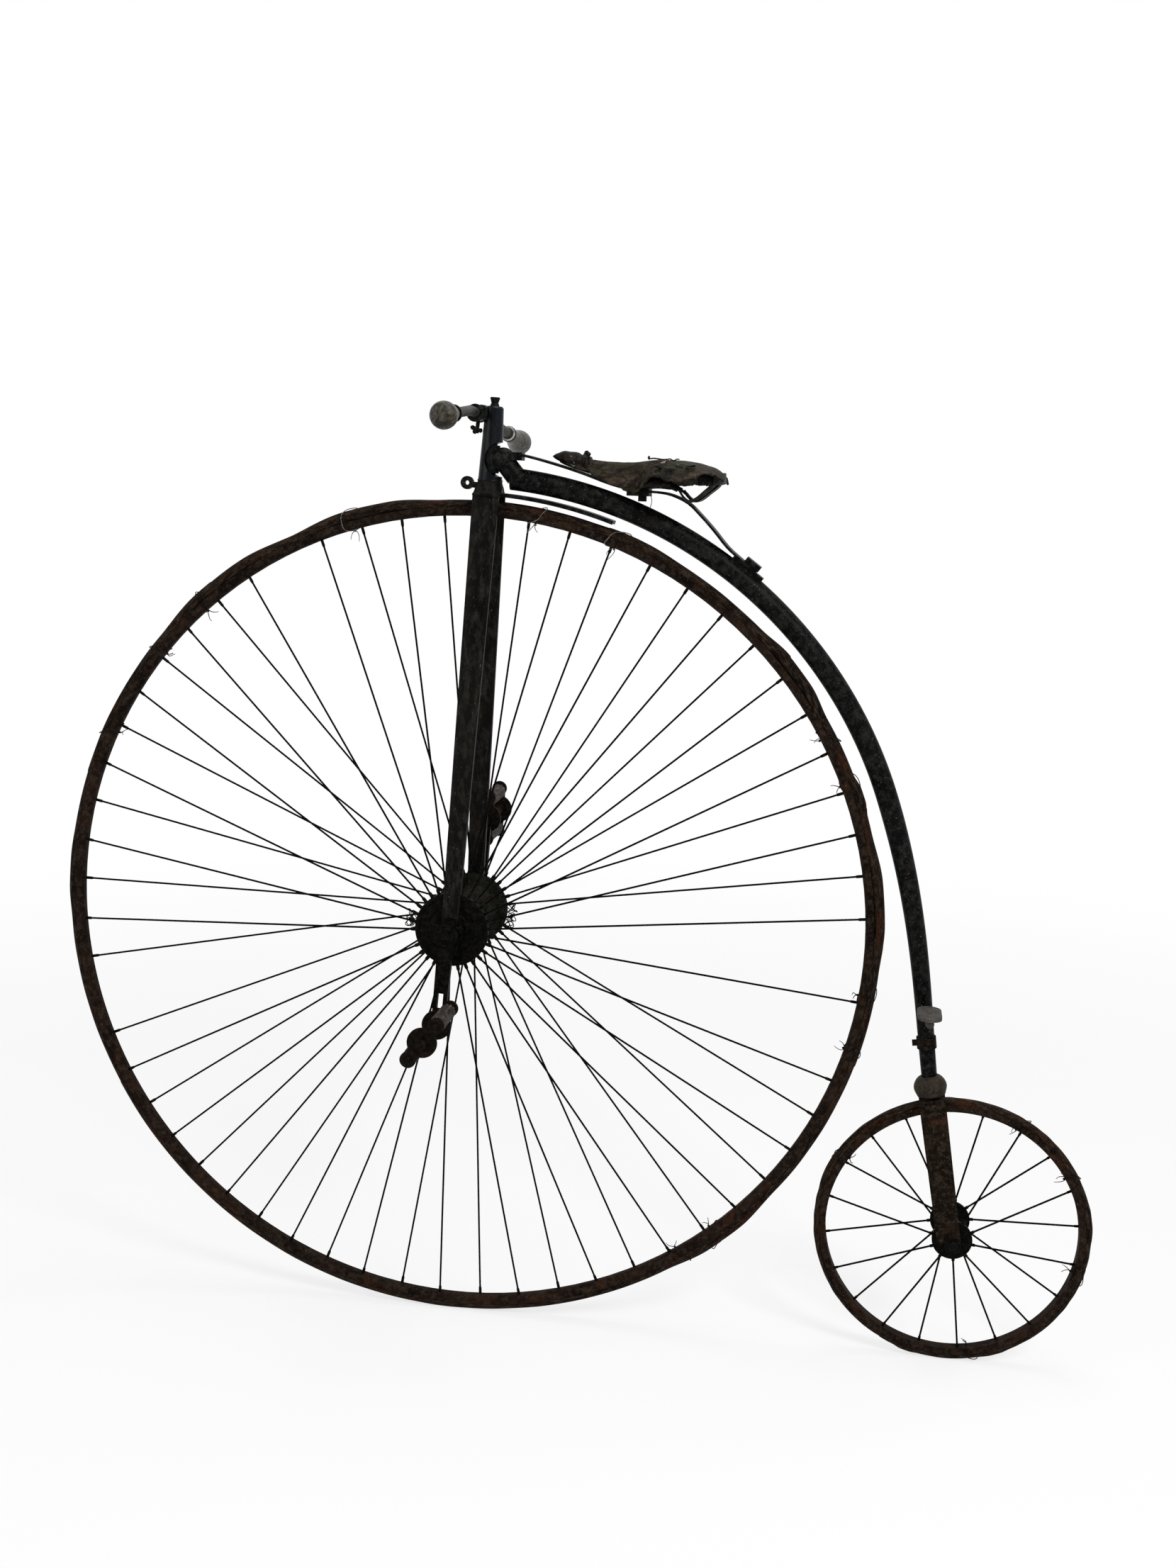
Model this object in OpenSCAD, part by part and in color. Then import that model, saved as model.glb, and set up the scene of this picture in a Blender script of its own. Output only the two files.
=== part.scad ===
// Penny farthing bicycle: one tall driven wheel, one small trailing wheel, a curved backbone,
// a saddle on a long leaf spring and an open steering head. Millimetres, +Z up, nose towards -X.
// Shapes are laid out from the front hub and then moved so that the rider's seat is the origin.

/* [Front wheel] */
// outside diameter of the front tyre
wheel_diameter = 1320; // [1100:1:1550]
// thickness of the front tyre's rubber
tyre_section = 21; // [16:0.5:26]
// depth of rim and tyre together
rim_depth = 25.3; // [22:0.1:32]
// width across the front rim
rim_width = 24; // [20:0.5:30]
// radius of the hub flanges
flange_radius = 58; // [45:0.5:70]
// distance from the wheel's middle to each flange
flange_half = 74.6; // [62:0.1:90]
// diameter of a front spoke
spoke_diameter = 3; // [2.2:0.1:4]
// radius of the front axle where it runs in its bearings
axle_radius = 11; // [8:0.5:14]

/* [Rear wheel] */
// outside diameter of the rear tyre
rear_diameter = 430.5; // [380:0.5:560]
// thickness of the rear tyre's rubber
rear_section = 16.5; // [13:0.5:22]
// level distance from the front hub to the rear hub
rear_reach = 795.3; // [740:0.1:900]
// distance from the small wheel's middle to each of its flanges
rear_flange_half = 39; // [32:0.5:46]
// radius of the rear hub flanges
rear_flange_radius = 31; // [24:0.5:38]

/* [Backbone] */
// gap between the front tyre and the middle of the backbone
backbone_offset = 35.5; // [32:0.5:60]
// radius of the backbone at the head
backbone_top = 17; // [13:0.5:21]
// radius of the backbone where it leaves the wheel's curve
backbone_mid = 16.3; // [12:0.5:20]
// radius of the backbone at the rear fork
backbone_end = 12; // [10:0.5:16]
// gap from the small tyre out to the middle of the rear fork's shoulder
shoulder_gap = 22.75; // [20:0.25:60]
// forward lean of the rear fork
fork_lean = 11.5; // [6:0.1:16]

/* [Head and bars] */
// backward lean of the steering head
head_rake = 2.2; // [0:0.1:6]
// height of the head above the crown
head_height = 111; // [96:1:130]
// width across the two grips, end to end
bar_width = 584; // [480:1:680]
// radius of the handlebar
bar_radius = 7.5; // [6:0.5:10]
// drop from the middle of the bar to the grips
bar_drop = 26; // [0:1:60]
// how far the bar is knocked out of level
bar_tilt = 2.2; // [0:0.1:6]

/* [Drive] */
// distance from the axle to the pedal pin
crank_throw = 141; // [110:1:165]
// angle of the cranks ahead of straight down
crank_angle = 4; // [0:1:90]
// angle of the left pedal's plates from level
pedal_angle = 53; // [0:1:90]
// angle of the right pedal's plates from level
far_pedal_angle = 88; // [0:1:120]
// length of a pedal from inner to outer plate
pedal_length = 96; // [80:1:110]

/* [Saddle and step] */
// length of the saddle
saddle_length = 260; // [220:1:300]
// half width of the saddle at the back
saddle_half = 96; // [80:1:110]
// width of the leaf spring
spring_width = 34; // [26:1:42]
// thickness of the leaf spring
spring_thick = 3.6; // [3:0.1:5]
// height of the saddle's top over the backbone's circle
saddle_rise = 33.5; // [28:0.5:60]
// width of the mounting step's tread
step_width = 36; // [28:1:44]

/* [Hidden] */
$fn = 96;
e = 0.01;

wheel_r = wheel_diameter / 2;
rim_in = wheel_r - rim_depth;
tyre_mid = wheel_r - tyre_section / 2;
rear_r = rear_diameter / 2;
fork_length = rear_r + shoulder_gap;
rear_depth = rear_section + 3.6;
rear_in = rear_r - rear_depth;
rear_mid = rear_r - rear_section / 2;
rear_x = rear_reach;
rear_z = rear_r - wheel_r;
bone_r = wheel_r + backbone_offset;
run = 0.05;

// crown and head, measured along the steering axis from the hub
crown_low = wheel_r + 6;
crown_top = crown_low + 24;
head_top = crown_top + head_height;
neck_mid = crown_top + 32;
neck_ball = 19;
neck_back = 18.5;
sleeve_r = 12.5;
window_r = 26;
head_low_r = 18.5;
head_high_r = 14;
bar_up = head_top - 12;
bar_fore = 26;

// seat: where the rider sits, and the part's origin
seat_x = 290;
seat_z = bone_r + saddle_rise;

module at_hub() {
  translate([-seat_x, 0, -seat_z]) children();
}

module on_steer() {
  at_hub() rotate([0, head_rake, 0]) children();
}

module at_rear() {
  at_hub() translate([rear_x, 0, rear_z]) children();
}

// a round bar along Y between two depths
module rod_y(r, y0, y1) {
  translate([0, y0, 0]) rotate([-90, 0, 0]) cylinder(h = y1 - y0, r = r);
}

// a profile drawn in X and Z, given thickness along Y
module slab_y(y0, y1) {
  translate([0, y1, 0]) rotate([90, 0, 0]) linear_extrude(height = y1 - y0) children();
}

// a turned piece whose axis is Y: the profile is radius against depth
module turned_y() {
  rotate([-90, 0, 0]) rotate_extrude() children();
}

// a straight wire in a wheel, from one radius and depth to another
module wire(r1, y1, r2, y2, d) {
  translate([r1, y1, 0])
    rotate([0, 0, atan2(y2 - y1, r2 - r1)])
      rotate([0, 90, 0])
        cylinder(h = norm([r2 - r1, y2 - y1]), d = d, $fn = 24);
}

// a bar between two points in X and Z, stopping short of both so that the knuckles join it
module bar_xz(p, q, r1, r2, short) {
  d = q - p;
  translate([p.x, 0, p.y])
    rotate([0, atan2(d.x, d.y), 0])
      translate([0, 0, short])
        cylinder(h = norm(d) - 2 * short, r1 = r1, r2 = r2, $fn = 64);
}

// the backbone's tube from one station to another: tapered lengths with a round knuckle at each bend
module bone_run(i0, i1) {
  for (i = [i0 : i1 - 1])
    bar_xz(bone[i], bone[i + 1], bone_rad(i), bone_rad(i + 1), 1.5);
  for (i = [i0 + 1 : i1 - 1])
    translate([bone[i].x, 0, bone[i].y]) sphere(r = bone_rad(i) + 0.25, $fn = 64);
}

// a strip of even thickness along a line of points
function away(p, i) = let(a = p[max(i - 1, 0)], b = p[min(i + 1, len(p) - 1)], d = b - a)
  [-d.y, d.x] / norm(d);
function strip(p, t) = concat(
  [for (i = [0 : len(p) - 1]) p[i] + away(p, i) * t / 2],
  [for (i = [len(p) - 1 : -1 : 0]) p[i] - away(p, i) * t / 2]);

// a smooth curve through points, several steps to a span
function spline_at(a, b, c, d, t) = 0.5 * (2 * b + (c - a) * t + (2 * a - 5 * b + 4 * c - d) * t * t
  + (3 * b - a - 3 * c + d) * t * t * t);
function smooth(p, n) = concat(
  [for (i = [0 : len(p) - 2], k = [0 : n - 1])
    spline_at(p[max(i - 1, 0)], p[i], p[i + 1], p[min(i + 2, len(p) - 1)], k / n)],
  [p[len(p) - 1]]);

// ---- front wheel ----

module front_tyre() {
  color([0.16, 0.12, 0.1]) at_hub() turned_y()
    translate([tyre_mid, 0]) circle(d = tyre_section);
}

module front_rim() {
  color([0.24, 0.16, 0.12]) at_hub() turned_y()
    difference() {
      intersection() {
        translate([rim_in, -rim_width / 2]) square([rim_depth * 0.52, rim_width]);
        translate([rim_in + rim_width * 0.62, 0]) circle(r = rim_width * 0.65);
      }
      translate([tyre_mid, 0]) circle(d = tyre_section);
    }
}

spoke_near = 8;
spoke_far = 2;
lost_near = [164];
lost_far = [2, 14, 242];

module front_spokes() {
  color([0.2, 0.15, 0.12]) at_hub() {
    for (k = [0 : 29])
      if (len(search(spoke_near + 12 * k, lost_near)) == 0)
        rotate([0, spoke_near + 12 * k, 0])
          wire(flange_radius - 4, -flange_half, rim_in + 2, -3, spoke_diameter);
    for (k = [0 : 29])
      if (len(search(spoke_far + 12 * k, lost_far)) == 0)
        rotate([0, spoke_far + 12 * k, 0])
          wire(flange_radius - 4, flange_half, rim_in + 2, 3, spoke_diameter);
  }
}

module front_hub() {
  color([0.2, 0.17, 0.15]) at_hub() difference() {
    union() {
      rod_y(22, -flange_half, flange_half);
      for (s = [-1, 1]) mirror([0, s > 0 ? 1 : 0, 0]) {
        rod_y(flange_radius, -flange_half - 3.5, -flange_half + 3.5);
        translate([0, -flange_half + 3.5 - e, 0]) rotate([-90, 0, 0])
          cylinder(h = 14, r1 = 40, r2 = 22);
      }
    }
    rod_y(axle_radius, -200, 200);
  }
}

bear_in = flange_half + 8.5;
bear_out = bear_in + 17;
crank_in = bear_out + 3.5;
crank_out = crank_in + 13;

module front_axle() {
  color([0.3, 0.27, 0.24]) at_hub() {
    rod_y(axle_radius, -crank_out - 3, crank_out + 3);
  }
}

// one crank with its boss on the axle and a long slot for the pedal pin
module crank(side) {
  turn = side < 0 ? 0 : 180;
  y0 = side < 0 ? -crank_out : crank_in;
  y1 = y0 + 13;
  at_hub() rotate([0, crank_angle + turn, 0]) difference() {
    union() {
      rod_y(19, y0, y1);
      slab_y(y0 + 1.5, y1 - 1.5)
        polygon([[-12, -8], [12, -8], [10.5, -crank_throw - 2], [-10.5, -crank_throw - 2]]);
      translate([0, 0, -crank_throw]) rod_y(13, y0 + 1.5, y1 - 1.5);
    }
    rod_y(axle_radius, -200, 200);
    translate([0, 0, -crank_throw]) rod_y(6, -200, 200);
    slab_y(-200, 200) translate([-4.5, -crank_throw + 22]) square([9, 26]);
  }
}

module crank_left() {
  color([0.17, 0.13, 0.11]) crank(-1);
}

module crank_right() {
  color([0.17, 0.13, 0.11]) crank(1);
}

pedal_gap = 5;
pedal_in = crank_out + pedal_gap;
pedal_out = pedal_in + pedal_length;

module pedal_pin(side) {
  y0 = side < 0 ? -pedal_out - 6 : crank_in - 2;
  y1 = side < 0 ? -crank_in + 2 : pedal_out + 6;
  at_hub() rotate([0, crank_angle + (side < 0 ? 0 : 180), 0])
    translate([0, 0, -crank_throw]) rod_y(6, y0, y1);
}

module pedal_pin_left() {
  color([0.3, 0.27, 0.24]) pedal_pin(-1);
}

module pedal_pin_right() {
  color([0.3, 0.27, 0.24]) pedal_pin(1);
}

// two end plates and the tube between them; the pin turns inside
module pedal_plates(side) {
  s = side < 0 ? 1 : -1;
  px = -s * crank_throw * sin(crank_angle);
  pz = -s * crank_throw * cos(crank_angle);
  at_hub() translate([px, 0, pz]) mirror([0, side < 0 ? 0 : 1, 0])
    rotate([0, side < 0 ? -pedal_angle : -far_pedal_angle, 0]) difference() {
      union() {
        for (y = [-pedal_out, -pedal_in - 4]) {
          rod_y(23, y, y + 4);
          for (k = [-1, 1]) translate([k * 35, 0, 0]) rod_y(12.5, y, y + 4);
          slab_y(y, y + 4) square([70, 20], center = true);
        }
        rod_y(9.5, -pedal_out + 2, -pedal_in - 2);
      }
      rod_y(6 + run, -300, 300);
    }
}

module pedal_left_plates() {
  color([0.32, 0.28, 0.24]) pedal_plates(-1);
}

module pedal_right_plates() {
  color([0.32, 0.28, 0.24]) pedal_plates(1);
}

// two ribbed rubber rollers between the plates
module pedal_rubbers(side) {
  s = side < 0 ? 1 : -1;
  px = -s * crank_throw * sin(crank_angle);
  pz = -s * crank_throw * cos(crank_angle);
  at_hub() translate([px, 0, pz]) mirror([0, side < 0 ? 0 : 1, 0])
    rotate([0, side < 0 ? -pedal_angle : -far_pedal_angle, 0])
      for (k = [-1, 1]) translate([k * 31, 0, 0])
        rod_y(12.5, -pedal_out + 4, -pedal_in - 4);
}

module pedal_left_rubbers() {
  color([0.4, 0.36, 0.31]) pedal_rubbers(-1);
}

module pedal_right_rubbers() {
  color([0.4, 0.36, 0.31]) pedal_rubbers(1);
}

// ---- steering: fork, head and bars ----

// radius against height
crown_shape = [[0, 0], [34, 0], [34, 2.5], [28, 4.5], [24.5, 8], [21.5, 14], [19.5, 19],
  [head_low_r, 24], [0, 24]];

module fork_crown() {
  color([0.08, 0.08, 0.1]) on_steer() difference() {
    fork_crown_outer();
    translate([0, 0, crown_low - 5]) cylinder(h = 40, r = 8 + run);
  }
}

// the head is open at the back: its side is cut round to let the neck swing
module head_tube() {
  color([0.08, 0.08, 0.1]) on_steer() difference() {
    translate([0, 0, crown_top]) union() {
      cylinder(h = head_height - 2.5, r1 = head_low_r, r2 = head_high_r);
      translate([0, 0, head_height - 2.5 - e])
        cylinder(h = 2.5 + e, r1 = head_high_r, r2 = head_high_r - 2.2);
    }
    translate([neck_back, 0, neck_mid]) rod_y(window_r, -60, 60);
    translate([0, 0, neck_mid - 22]) cylinder(h = 44, r = sleeve_r + 1);
    translate([0, 0, crown_top - 10]) cylinder(h = head_height - 8, r = 8 + run);
    translate([0, 0, head_top - 30]) cylinder(h = 40, r = 5);
  }
}

module head_bolt() {
  color([0.1, 0.1, 0.11]) on_steer() {
    translate([0, 0, head_top - 17]) cylinder(h = 17 + e, r = 5);
    translate([0, 0, head_top]) cylinder(h = 5, r1 = 7.5, r2 = 5.4);
    translate([0, 0, head_top + 5 - e]) cylinder(h = 7, r1 = 5.4, r2 = 7.6);
    translate([0, 0, head_top + 12 - 2 * e]) cylinder(h = 1.6, r1 = 7.6, r2 = 6.8);
  }
}

// a blade of lens section between bearing and crown, narrower at the foot
module fork_blade(side) {
  y_foot = bear_in + 8.5;
  y_crown = 24;
  splay = atan2(y_foot - y_crown, crown_low - 4);
  long = norm([y_foot - y_crown, crown_low - 4]);
  mirror([0, side < 0 ? 0 : 1, 0]) on_steer()
    translate([0, -y_foot, 0]) rotate([-splay, 0, 0]) intersection() {
      linear_extrude(height = long + 12) intersection() {
        translate([0, 50]) circle(r = 56, $fn = 200);
        translate([0, -50]) circle(r = 56, $fn = 200);
        square([41, 20], center = true);
      }
      rotate([90, 0, 0]) linear_extrude(height = 40, center = true)
        polygon([[-12.5, 0], [12.5, 0], [20.5, long], [20.5, long + 20], [-20.5, long + 20],
          [-20.5, long]]);
    }
}

module fork_blade_left() {
  color([0.07, 0.07, 0.08]) difference() {
    fork_blade(-1);
    at_hub() rod_y(23, -bear_out - 20, -bear_in + 20);
    on_steer() translate([-60, -60, crown_low]) cube([120, 120, 100]);
  }
}

module fork_blade_right() {
  color([0.07, 0.07, 0.08]) difference() {
    fork_blade(1);
    at_hub() rod_y(23, bear_in - 20, bear_out + 20);
    on_steer() translate([-60, -60, crown_low]) cube([120, 120, 100]);
  }
}

module bearing(y0, y1) {
  at_hub() difference() {
    rod_y(23, y0, y1);
    rod_y(axle_radius + run, y0 - 5, y1 + 5);
  }
}

module bearing_left() {
  color([0.14, 0.12, 0.11]) bearing(-bear_out, -bear_in);
}

module bearing_right() {
  color([0.14, 0.12, 0.11]) bearing(bear_in, bear_out);
}

module handlebar_lug() {
  color([0.08, 0.08, 0.1]) on_steer() difference() {
    union() {
      translate([-bar_fore, 0, bar_up]) rod_y(12, -19, 19);
      translate([-bar_fore, -13, bar_up - 9]) cube([bar_fore - 8, 26, 18]);
    }
    translate([0, 0, crown_top]) cylinder(h = head_height - 2.5, r1 = head_low_r, r2 = head_high_r);
    at_bar() rod_y(bar_radius, -30, 30);
  }
}

// the middle of the bar, with the bar's own tilt
module at_bar() {
  translate([-bar_fore, 0, bar_up]) rotate([-bar_tilt, 0, 0]) children();
}

bar_sweep = 15;
grip_long = 96;
bend_y = 52;
bar_end = bar_width / 2;

module half_bar() {
  d = [bar_sweep, -(bar_end - bend_y), -bar_drop];
  translate([0, -bend_y, 0])
    rotate([0, 0, atan2(d.y, d.x)])
      rotate([0, 90 - atan2(d.z, norm([d.x, d.y])), 0])
        children();
}

half_long = norm([bar_sweep, bar_end - bend_y, bar_drop]);

module handlebar() {
  color([0.12, 0.1, 0.09]) on_steer() at_bar() {
    rod_y(bar_radius, -bend_y + 1, bend_y - 1);
    for (s = [0, 1]) mirror([0, s, 0]) half_bar() {
      translate([0, 0, 1]) cylinder(h = half_long - 13, r = bar_radius);
      sphere(r = bar_radius + 0.25);
    }
  }
}

// a pear-shaped handle: radius against distance from its inner end
grip_shape = [[0, 9.5], [6, 10.5], [20, 11], [40, 12.8], [58, 16.4], [72, 19], [82, 19.6],
  [89, 18], [93.5, 14], [95.6, 8], [96, 0]];

module grip() {
  p = smooth([for (g = grip_shape) [g[1], g[0]]], 3);
  half_bar() translate([0, 0, half_long - grip_long]) difference() {
    rotate_extrude() intersection() {
      polygon(concat([[0, 0]], p));
      square([60, 200]);
    }
    translate([0, 0, -1]) cylinder(h = grip_long - 11, r = bar_radius);
  }
}

module grip_left() {
  color([0.36, 0.33, 0.27]) on_steer() at_bar() grip();
}

module grip_right() {
  color([0.36, 0.33, 0.27]) on_steer() at_bar() mirror([0, 1, 0]) grip();
}

// the spoon follows the tyre behind the crown
module brake_spoon() {
  color([0.1, 0.09, 0.09]) on_steer() difference() {
    rotate([90, 0, 0]) rotate([0, 0, 73]) rotate_extrude(angle = 15.4)
      translate([wheel_r + 6.5, 0]) difference() {
        translate([0, -15]) square([6, 30]);
        translate([-28, 0]) circle(r = 31);
      }
    fork_crown_outer();
  }
}

eye_up = crown_top - 6;

module fork_crown_outer() {
  intersection() {
    translate([0, 0, crown_low]) rotate_extrude()
      polygon(crown_shape);
    translate([-21, -32, crown_low - 1]) cube([42, 64, 60]);
  }
}

module brake_eye() {
  color([0.1, 0.09, 0.09]) on_steer() difference() {
    union() {
      translate([-35, 0, eye_up]) rod_y(10, -4, 4);
      translate([-35, -4, eye_up - 7]) cube([26, 8, 9]);
    }
    translate([-35, 0, eye_up]) rod_y(3.4, -20, 20);
    fork_crown_outer();
    translate([0, 0, crown_top]) cylinder(h = head_height - 2.5, r1 = head_low_r, r2 = head_high_r);
  }
}

// ---- frame: backbone, neck and rear fork ----

module steering_spindle() {
  color([0.3, 0.28, 0.26]) on_steer()
    translate([0, 0, crown_low + 3]) cylinder(h = head_top - 19 - crown_low - 3, r = 8);
}

// the neck: a sleeve round the spindle, a ball behind it, a bridge to the backbone and a seat
// for the leaf spring
module backbone_neck() {
  color([0.08, 0.08, 0.1]) difference() {
    union() {
      on_steer() translate([0, 0, neck_mid - 21]) cylinder(h = 42, r = sleeve_r);
      on_steer() translate([neck_back, 0, neck_mid]) sphere(r = neck_ball);
      at_hub() bar_xz(neck_pos, bone[0] + [7, 3], 15.5, 16, 0);
      at_hub() slab_y(-13, 13) translate(neck_pos) square([31, 12]);
    }
    on_steer() cylinder(h = head_top, r = 8);
    at_hub() bone_run(0, 2);
    at_hub() spring_strip(20);
  }
}

a_head = 85.05;
a_turn = 20;
tail_lean = 8.9;
arc_n = 13;
arc = [for (i = [0 : arc_n]) let(a = a_head + (a_turn - a_head) * i / arc_n) bone_r * [cos(a), sin(a)]];
shoulder = [rear_x - fork_length * sin(fork_lean), rear_z + fork_length * cos(fork_lean)];
b0 = arc[arc_n];
reach = norm(shoulder - b0);
b1 = b0 + 0.41 * reach * [sin(a_turn), -cos(a_turn)];
b2 = shoulder - 0.3 * reach * [sin(tail_lean), -cos(tail_lean)];
tail = [for (i = [1 : 7]) let(t = i / 7, u = 1 - t)
  u * u * u * b0 + 3 * u * u * t * b1 + 3 * u * t * t * b2 + t * t * t * shoulder];
bone = concat(arc, tail);
bone_n = len(bone) - 1;
neck_pos = [neck_mid * sin(head_rake) + neck_back * cos(head_rake),
  neck_mid * cos(head_rake) - neck_back * sin(head_rake)];
function bone_rad(i) = i <= arc_n ? backbone_top + (backbone_mid - backbone_top) * i / arc_n
  : backbone_mid + (backbone_end - backbone_mid) * (i - arc_n) / (bone_n - arc_n);

module backbone() {
  color([0.08, 0.08, 0.09]) difference() {
    at_hub() bone_run(0, bone_n);
    backbone_neck();
    at_rear() rod_y(rear_r + 12, -40, 40);
    at_fork() translate([0, 0, fork_length]) shoulder_shape();
  }
}

module at_fork() {
  at_rear() rotate([0, -fork_lean, 0]) children();
}

// a flattened dome, turned about the fork's own line: radius against height
module shoulder_shape() {
  p = smooth([[0, 16], [13, 15], [20, 10.5], [24.5, 3], [25.5, -4], [23.5, -11], [21, -18],
    [20, -26]], 2);
  rotate_extrude() intersection() {
    polygon(concat(p, [[0, -26]]));
    translate([0, -40]) square([60, 80]);
  }
}

module rear_shoulder() {
  color([0.17, 0.12, 0.1]) difference() {
    at_fork() translate([0, 0, fork_length]) shoulder_shape();
    at_rear() rod_y(rear_r + 8, -60, 60);
  }
}

rear_bear = rear_flange_half + 8;
rear_out = rear_bear + 9;

module rear_blade(side) {
  y_foot = rear_bear + 4.5;
  y_top = 20.5;
  splay = atan2(y_foot - y_top, fork_length - 20);
  long = norm([y_foot - y_top, fork_length - 20]);
  mirror([0, side < 0 ? 0 : 1, 0]) difference() {
    at_fork() translate([0, -y_foot, 0]) rotate([-splay, 0, 0]) union() {
      rotate([90, 0, 0]) linear_extrude(height = 9, center = true)
        polygon([[-23, 8], [-18, -3], [10, -8], [13, 0], [20.5, long], [-20.5, long]]);
      rod_y(13, -4.5, 4.5);
    }
    at_fork() translate([0, 0, fork_length]) shoulder_shape();
    at_rear() rod_y(6, -100, 100);
    at_rear() rod_y(26, -rear_bear, 0);
    at_rear() rod_y(15, -rear_out - 20, -rear_out);
  }
}

module rear_blade_left() {
  color([0.17, 0.12, 0.1]) rear_blade(-1);
}

module rear_blade_right() {
  color([0.17, 0.12, 0.1]) rear_blade(1);
}

module rear_axle() {
  color([0.3, 0.27, 0.24]) at_rear() rod_y(6, -rear_out - 9, rear_out + 9);
}

module rear_nuts() {
  color([0.2, 0.15, 0.12]) at_rear() difference() {
    union() {
      for (s = [0, 1]) mirror([0, s, 0]) {
        rod_y(11, -rear_out - 7, -rear_out, $fn = 6);
      }
    }
    rod_y(6, -100, 100);
  }
}

module rear_hub() {
  color([0.2, 0.15, 0.12]) at_rear() difference() {
    union() {
      rod_y(14, -rear_flange_half - 3, rear_flange_half + 3);
      for (s = [-1, 1]) translate([0, s * rear_flange_half, 0])
        rod_y(rear_flange_radius, -2.5, 2.5);
    }
    rod_y(6 + run, -200, 200);
  }
}

module rear_spokes() {
  color([0.2, 0.15, 0.12]) at_rear() {
    for (k = [0 : 9]) rotate([0, 11.3 + 36 * k, 0])
      wire(rear_flange_radius - 3, -rear_flange_half, rear_in + 1.5, -2, 3);
    for (k = [0 : 9]) rotate([0, 29.1 + 36 * k, 0])
      wire(rear_flange_radius - 3, rear_flange_half, rear_in + 1.5, 2, 3);
  }
}

module rear_rim() {
  color([0.24, 0.16, 0.12]) at_rear() turned_y()
    difference() {
      translate([rear_in, -9.5]) square([rear_depth * 0.52, 19]);
      translate([rear_mid, 0]) circle(d = rear_section);
    }
}

module rear_tyre() {
  color([0.16, 0.12, 0.1]) at_rear() turned_y()
    translate([rear_mid, 0]) circle(d = rear_section);
}

// ---- step, collar, saddle ----

step_at = bone[18] + [6, 8];
step_long = 72;

module step() {
  color([0.33, 0.31, 0.3]) at_hub() difference() {
    translate([step_at.x, 0, step_at.y]) union() {
      translate([0, -55, 0]) linear_extrude(height = 5) {
        square([step_width, step_long - step_width], center = true);
        for (k = [-1, 1]) translate([0, k * (step_long - step_width) / 2]) circle(d = step_width);
      }
      translate([0, 0, -5]) rod_y(6.5, -84, -6);
    }
    bone_run(16, bone_n);
  }
}

module stay_collar() {
  p = 0.16 * bone[18] + 0.84 * bone[19];
  color([0.16, 0.13, 0.12]) at_hub() difference() {
    translate([p.x, 0, p.y]) rotate([0, atan2(bone[19].x - p.x, bone[19].y - p.y), 0])
      union() {
        translate([0, 0, -9]) cylinder(h = 18, r = bone_rad(19) + 2.5);
        rotate([0, 90, 0]) translate([0, 0, -4]) cylinder(h = 26, r = 5);
      }
    bone_run(16, bone_n);
  }
}

clip_angle = 53.3;
clip = bone_r * [cos(clip_angle), sin(clip_angle)];
spring_low = seat_z - 729;
spring_line = smooth(concat([for (p = [[62, 731.5], [95, 725], [139, 714], [176, 703], [215, 690],
    [252, 682], [285, 680.5], [308, 677], [333, 666], [353, 648]]) p + [0, spring_low]],
  [for (d = [[-42, 69], [-21, 45], [0, 27.5], [19, 13]]) clip + d]), 3);

module spring_strip(half) {
  slab_y(-half, half) polygon(strip(spring_line, spring_thick));
}

module saddle_spring() {
  color([0.11, 0.1, 0.1]) at_hub() spring_strip(spring_width / 2);
}

// a pad on top of the backbone and a square block that holds the spring's end down on it
module spring_clip() {
  color([0.14, 0.12, 0.11]) at_hub() difference() {
    translate([clip.x, 0, clip.y]) rotate([0, 90 - clip_angle, 0]) union() {
      translate([-28, -12, 0]) cube([56, 24, backbone_top + 4]);
      translate([-9, -13, 0]) cube([22, 26, backbone_top + 6]);
      translate([-11, -13, backbone_top + 6 - e]) cube([26, 26, 9]);
    }
    bone_run(4, 10);
    spring_strip(30);
  }
}

module saddle_clamp() {
  color([0.14, 0.12, 0.11]) at_hub() difference() {
    translate([0, 0, spring_low]) union() {
      translate([240, -19, 674]) cube([34, 38, 24]);
      translate([262, 0, 666]) cylinder(h = 12, r = 6.5);
    }
    spring_strip(spring_width / 2);
  }
}

leather_line = smooth([[124, 729], [148, 730.5], [180, 726], [213, 722], [244, 722.5], [290, 727],
  [330, 726], [358, 720.5], [381, 707]], 3);
frame_line = smooth([[136, 722], [150, 716], [200, 702], [252, 693], [300, 688], [324, 683],
  [335, 673], [346, 670], [366, 685], [380, 697], [384, 702]], 3);
ridge_half = 30;

module saddle_frame() {
  color([0.15, 0.12, 0.1]) at_hub() translate([0, 0, spring_low]) {
    difference() {
      slab_y(-9, 9) polygon(strip(frame_line, 4));
      translate([240, -19, 674]) cube([34, 38, 24]);
      slab_y(-150, 150) polygon(strip(leather_line, 4));
    }
  }
}

// half the saddle's plan: distance from the nose, half width
module half_plan() {
  w = smooth([[0, 9], [18, 20], [55, 25], [95, 28], [130, 34], [160, 78], [190, 94], [225, 93],
    [250, 82], [262, 60]], 3);
  k = saddle_length / 260;
  polygon(concat([[123, 4]], [for (p = w) [123 + p.x * k, -p.y * saddle_half / 96]],
    [[123 + 262 * k, 4]]));
}

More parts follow.
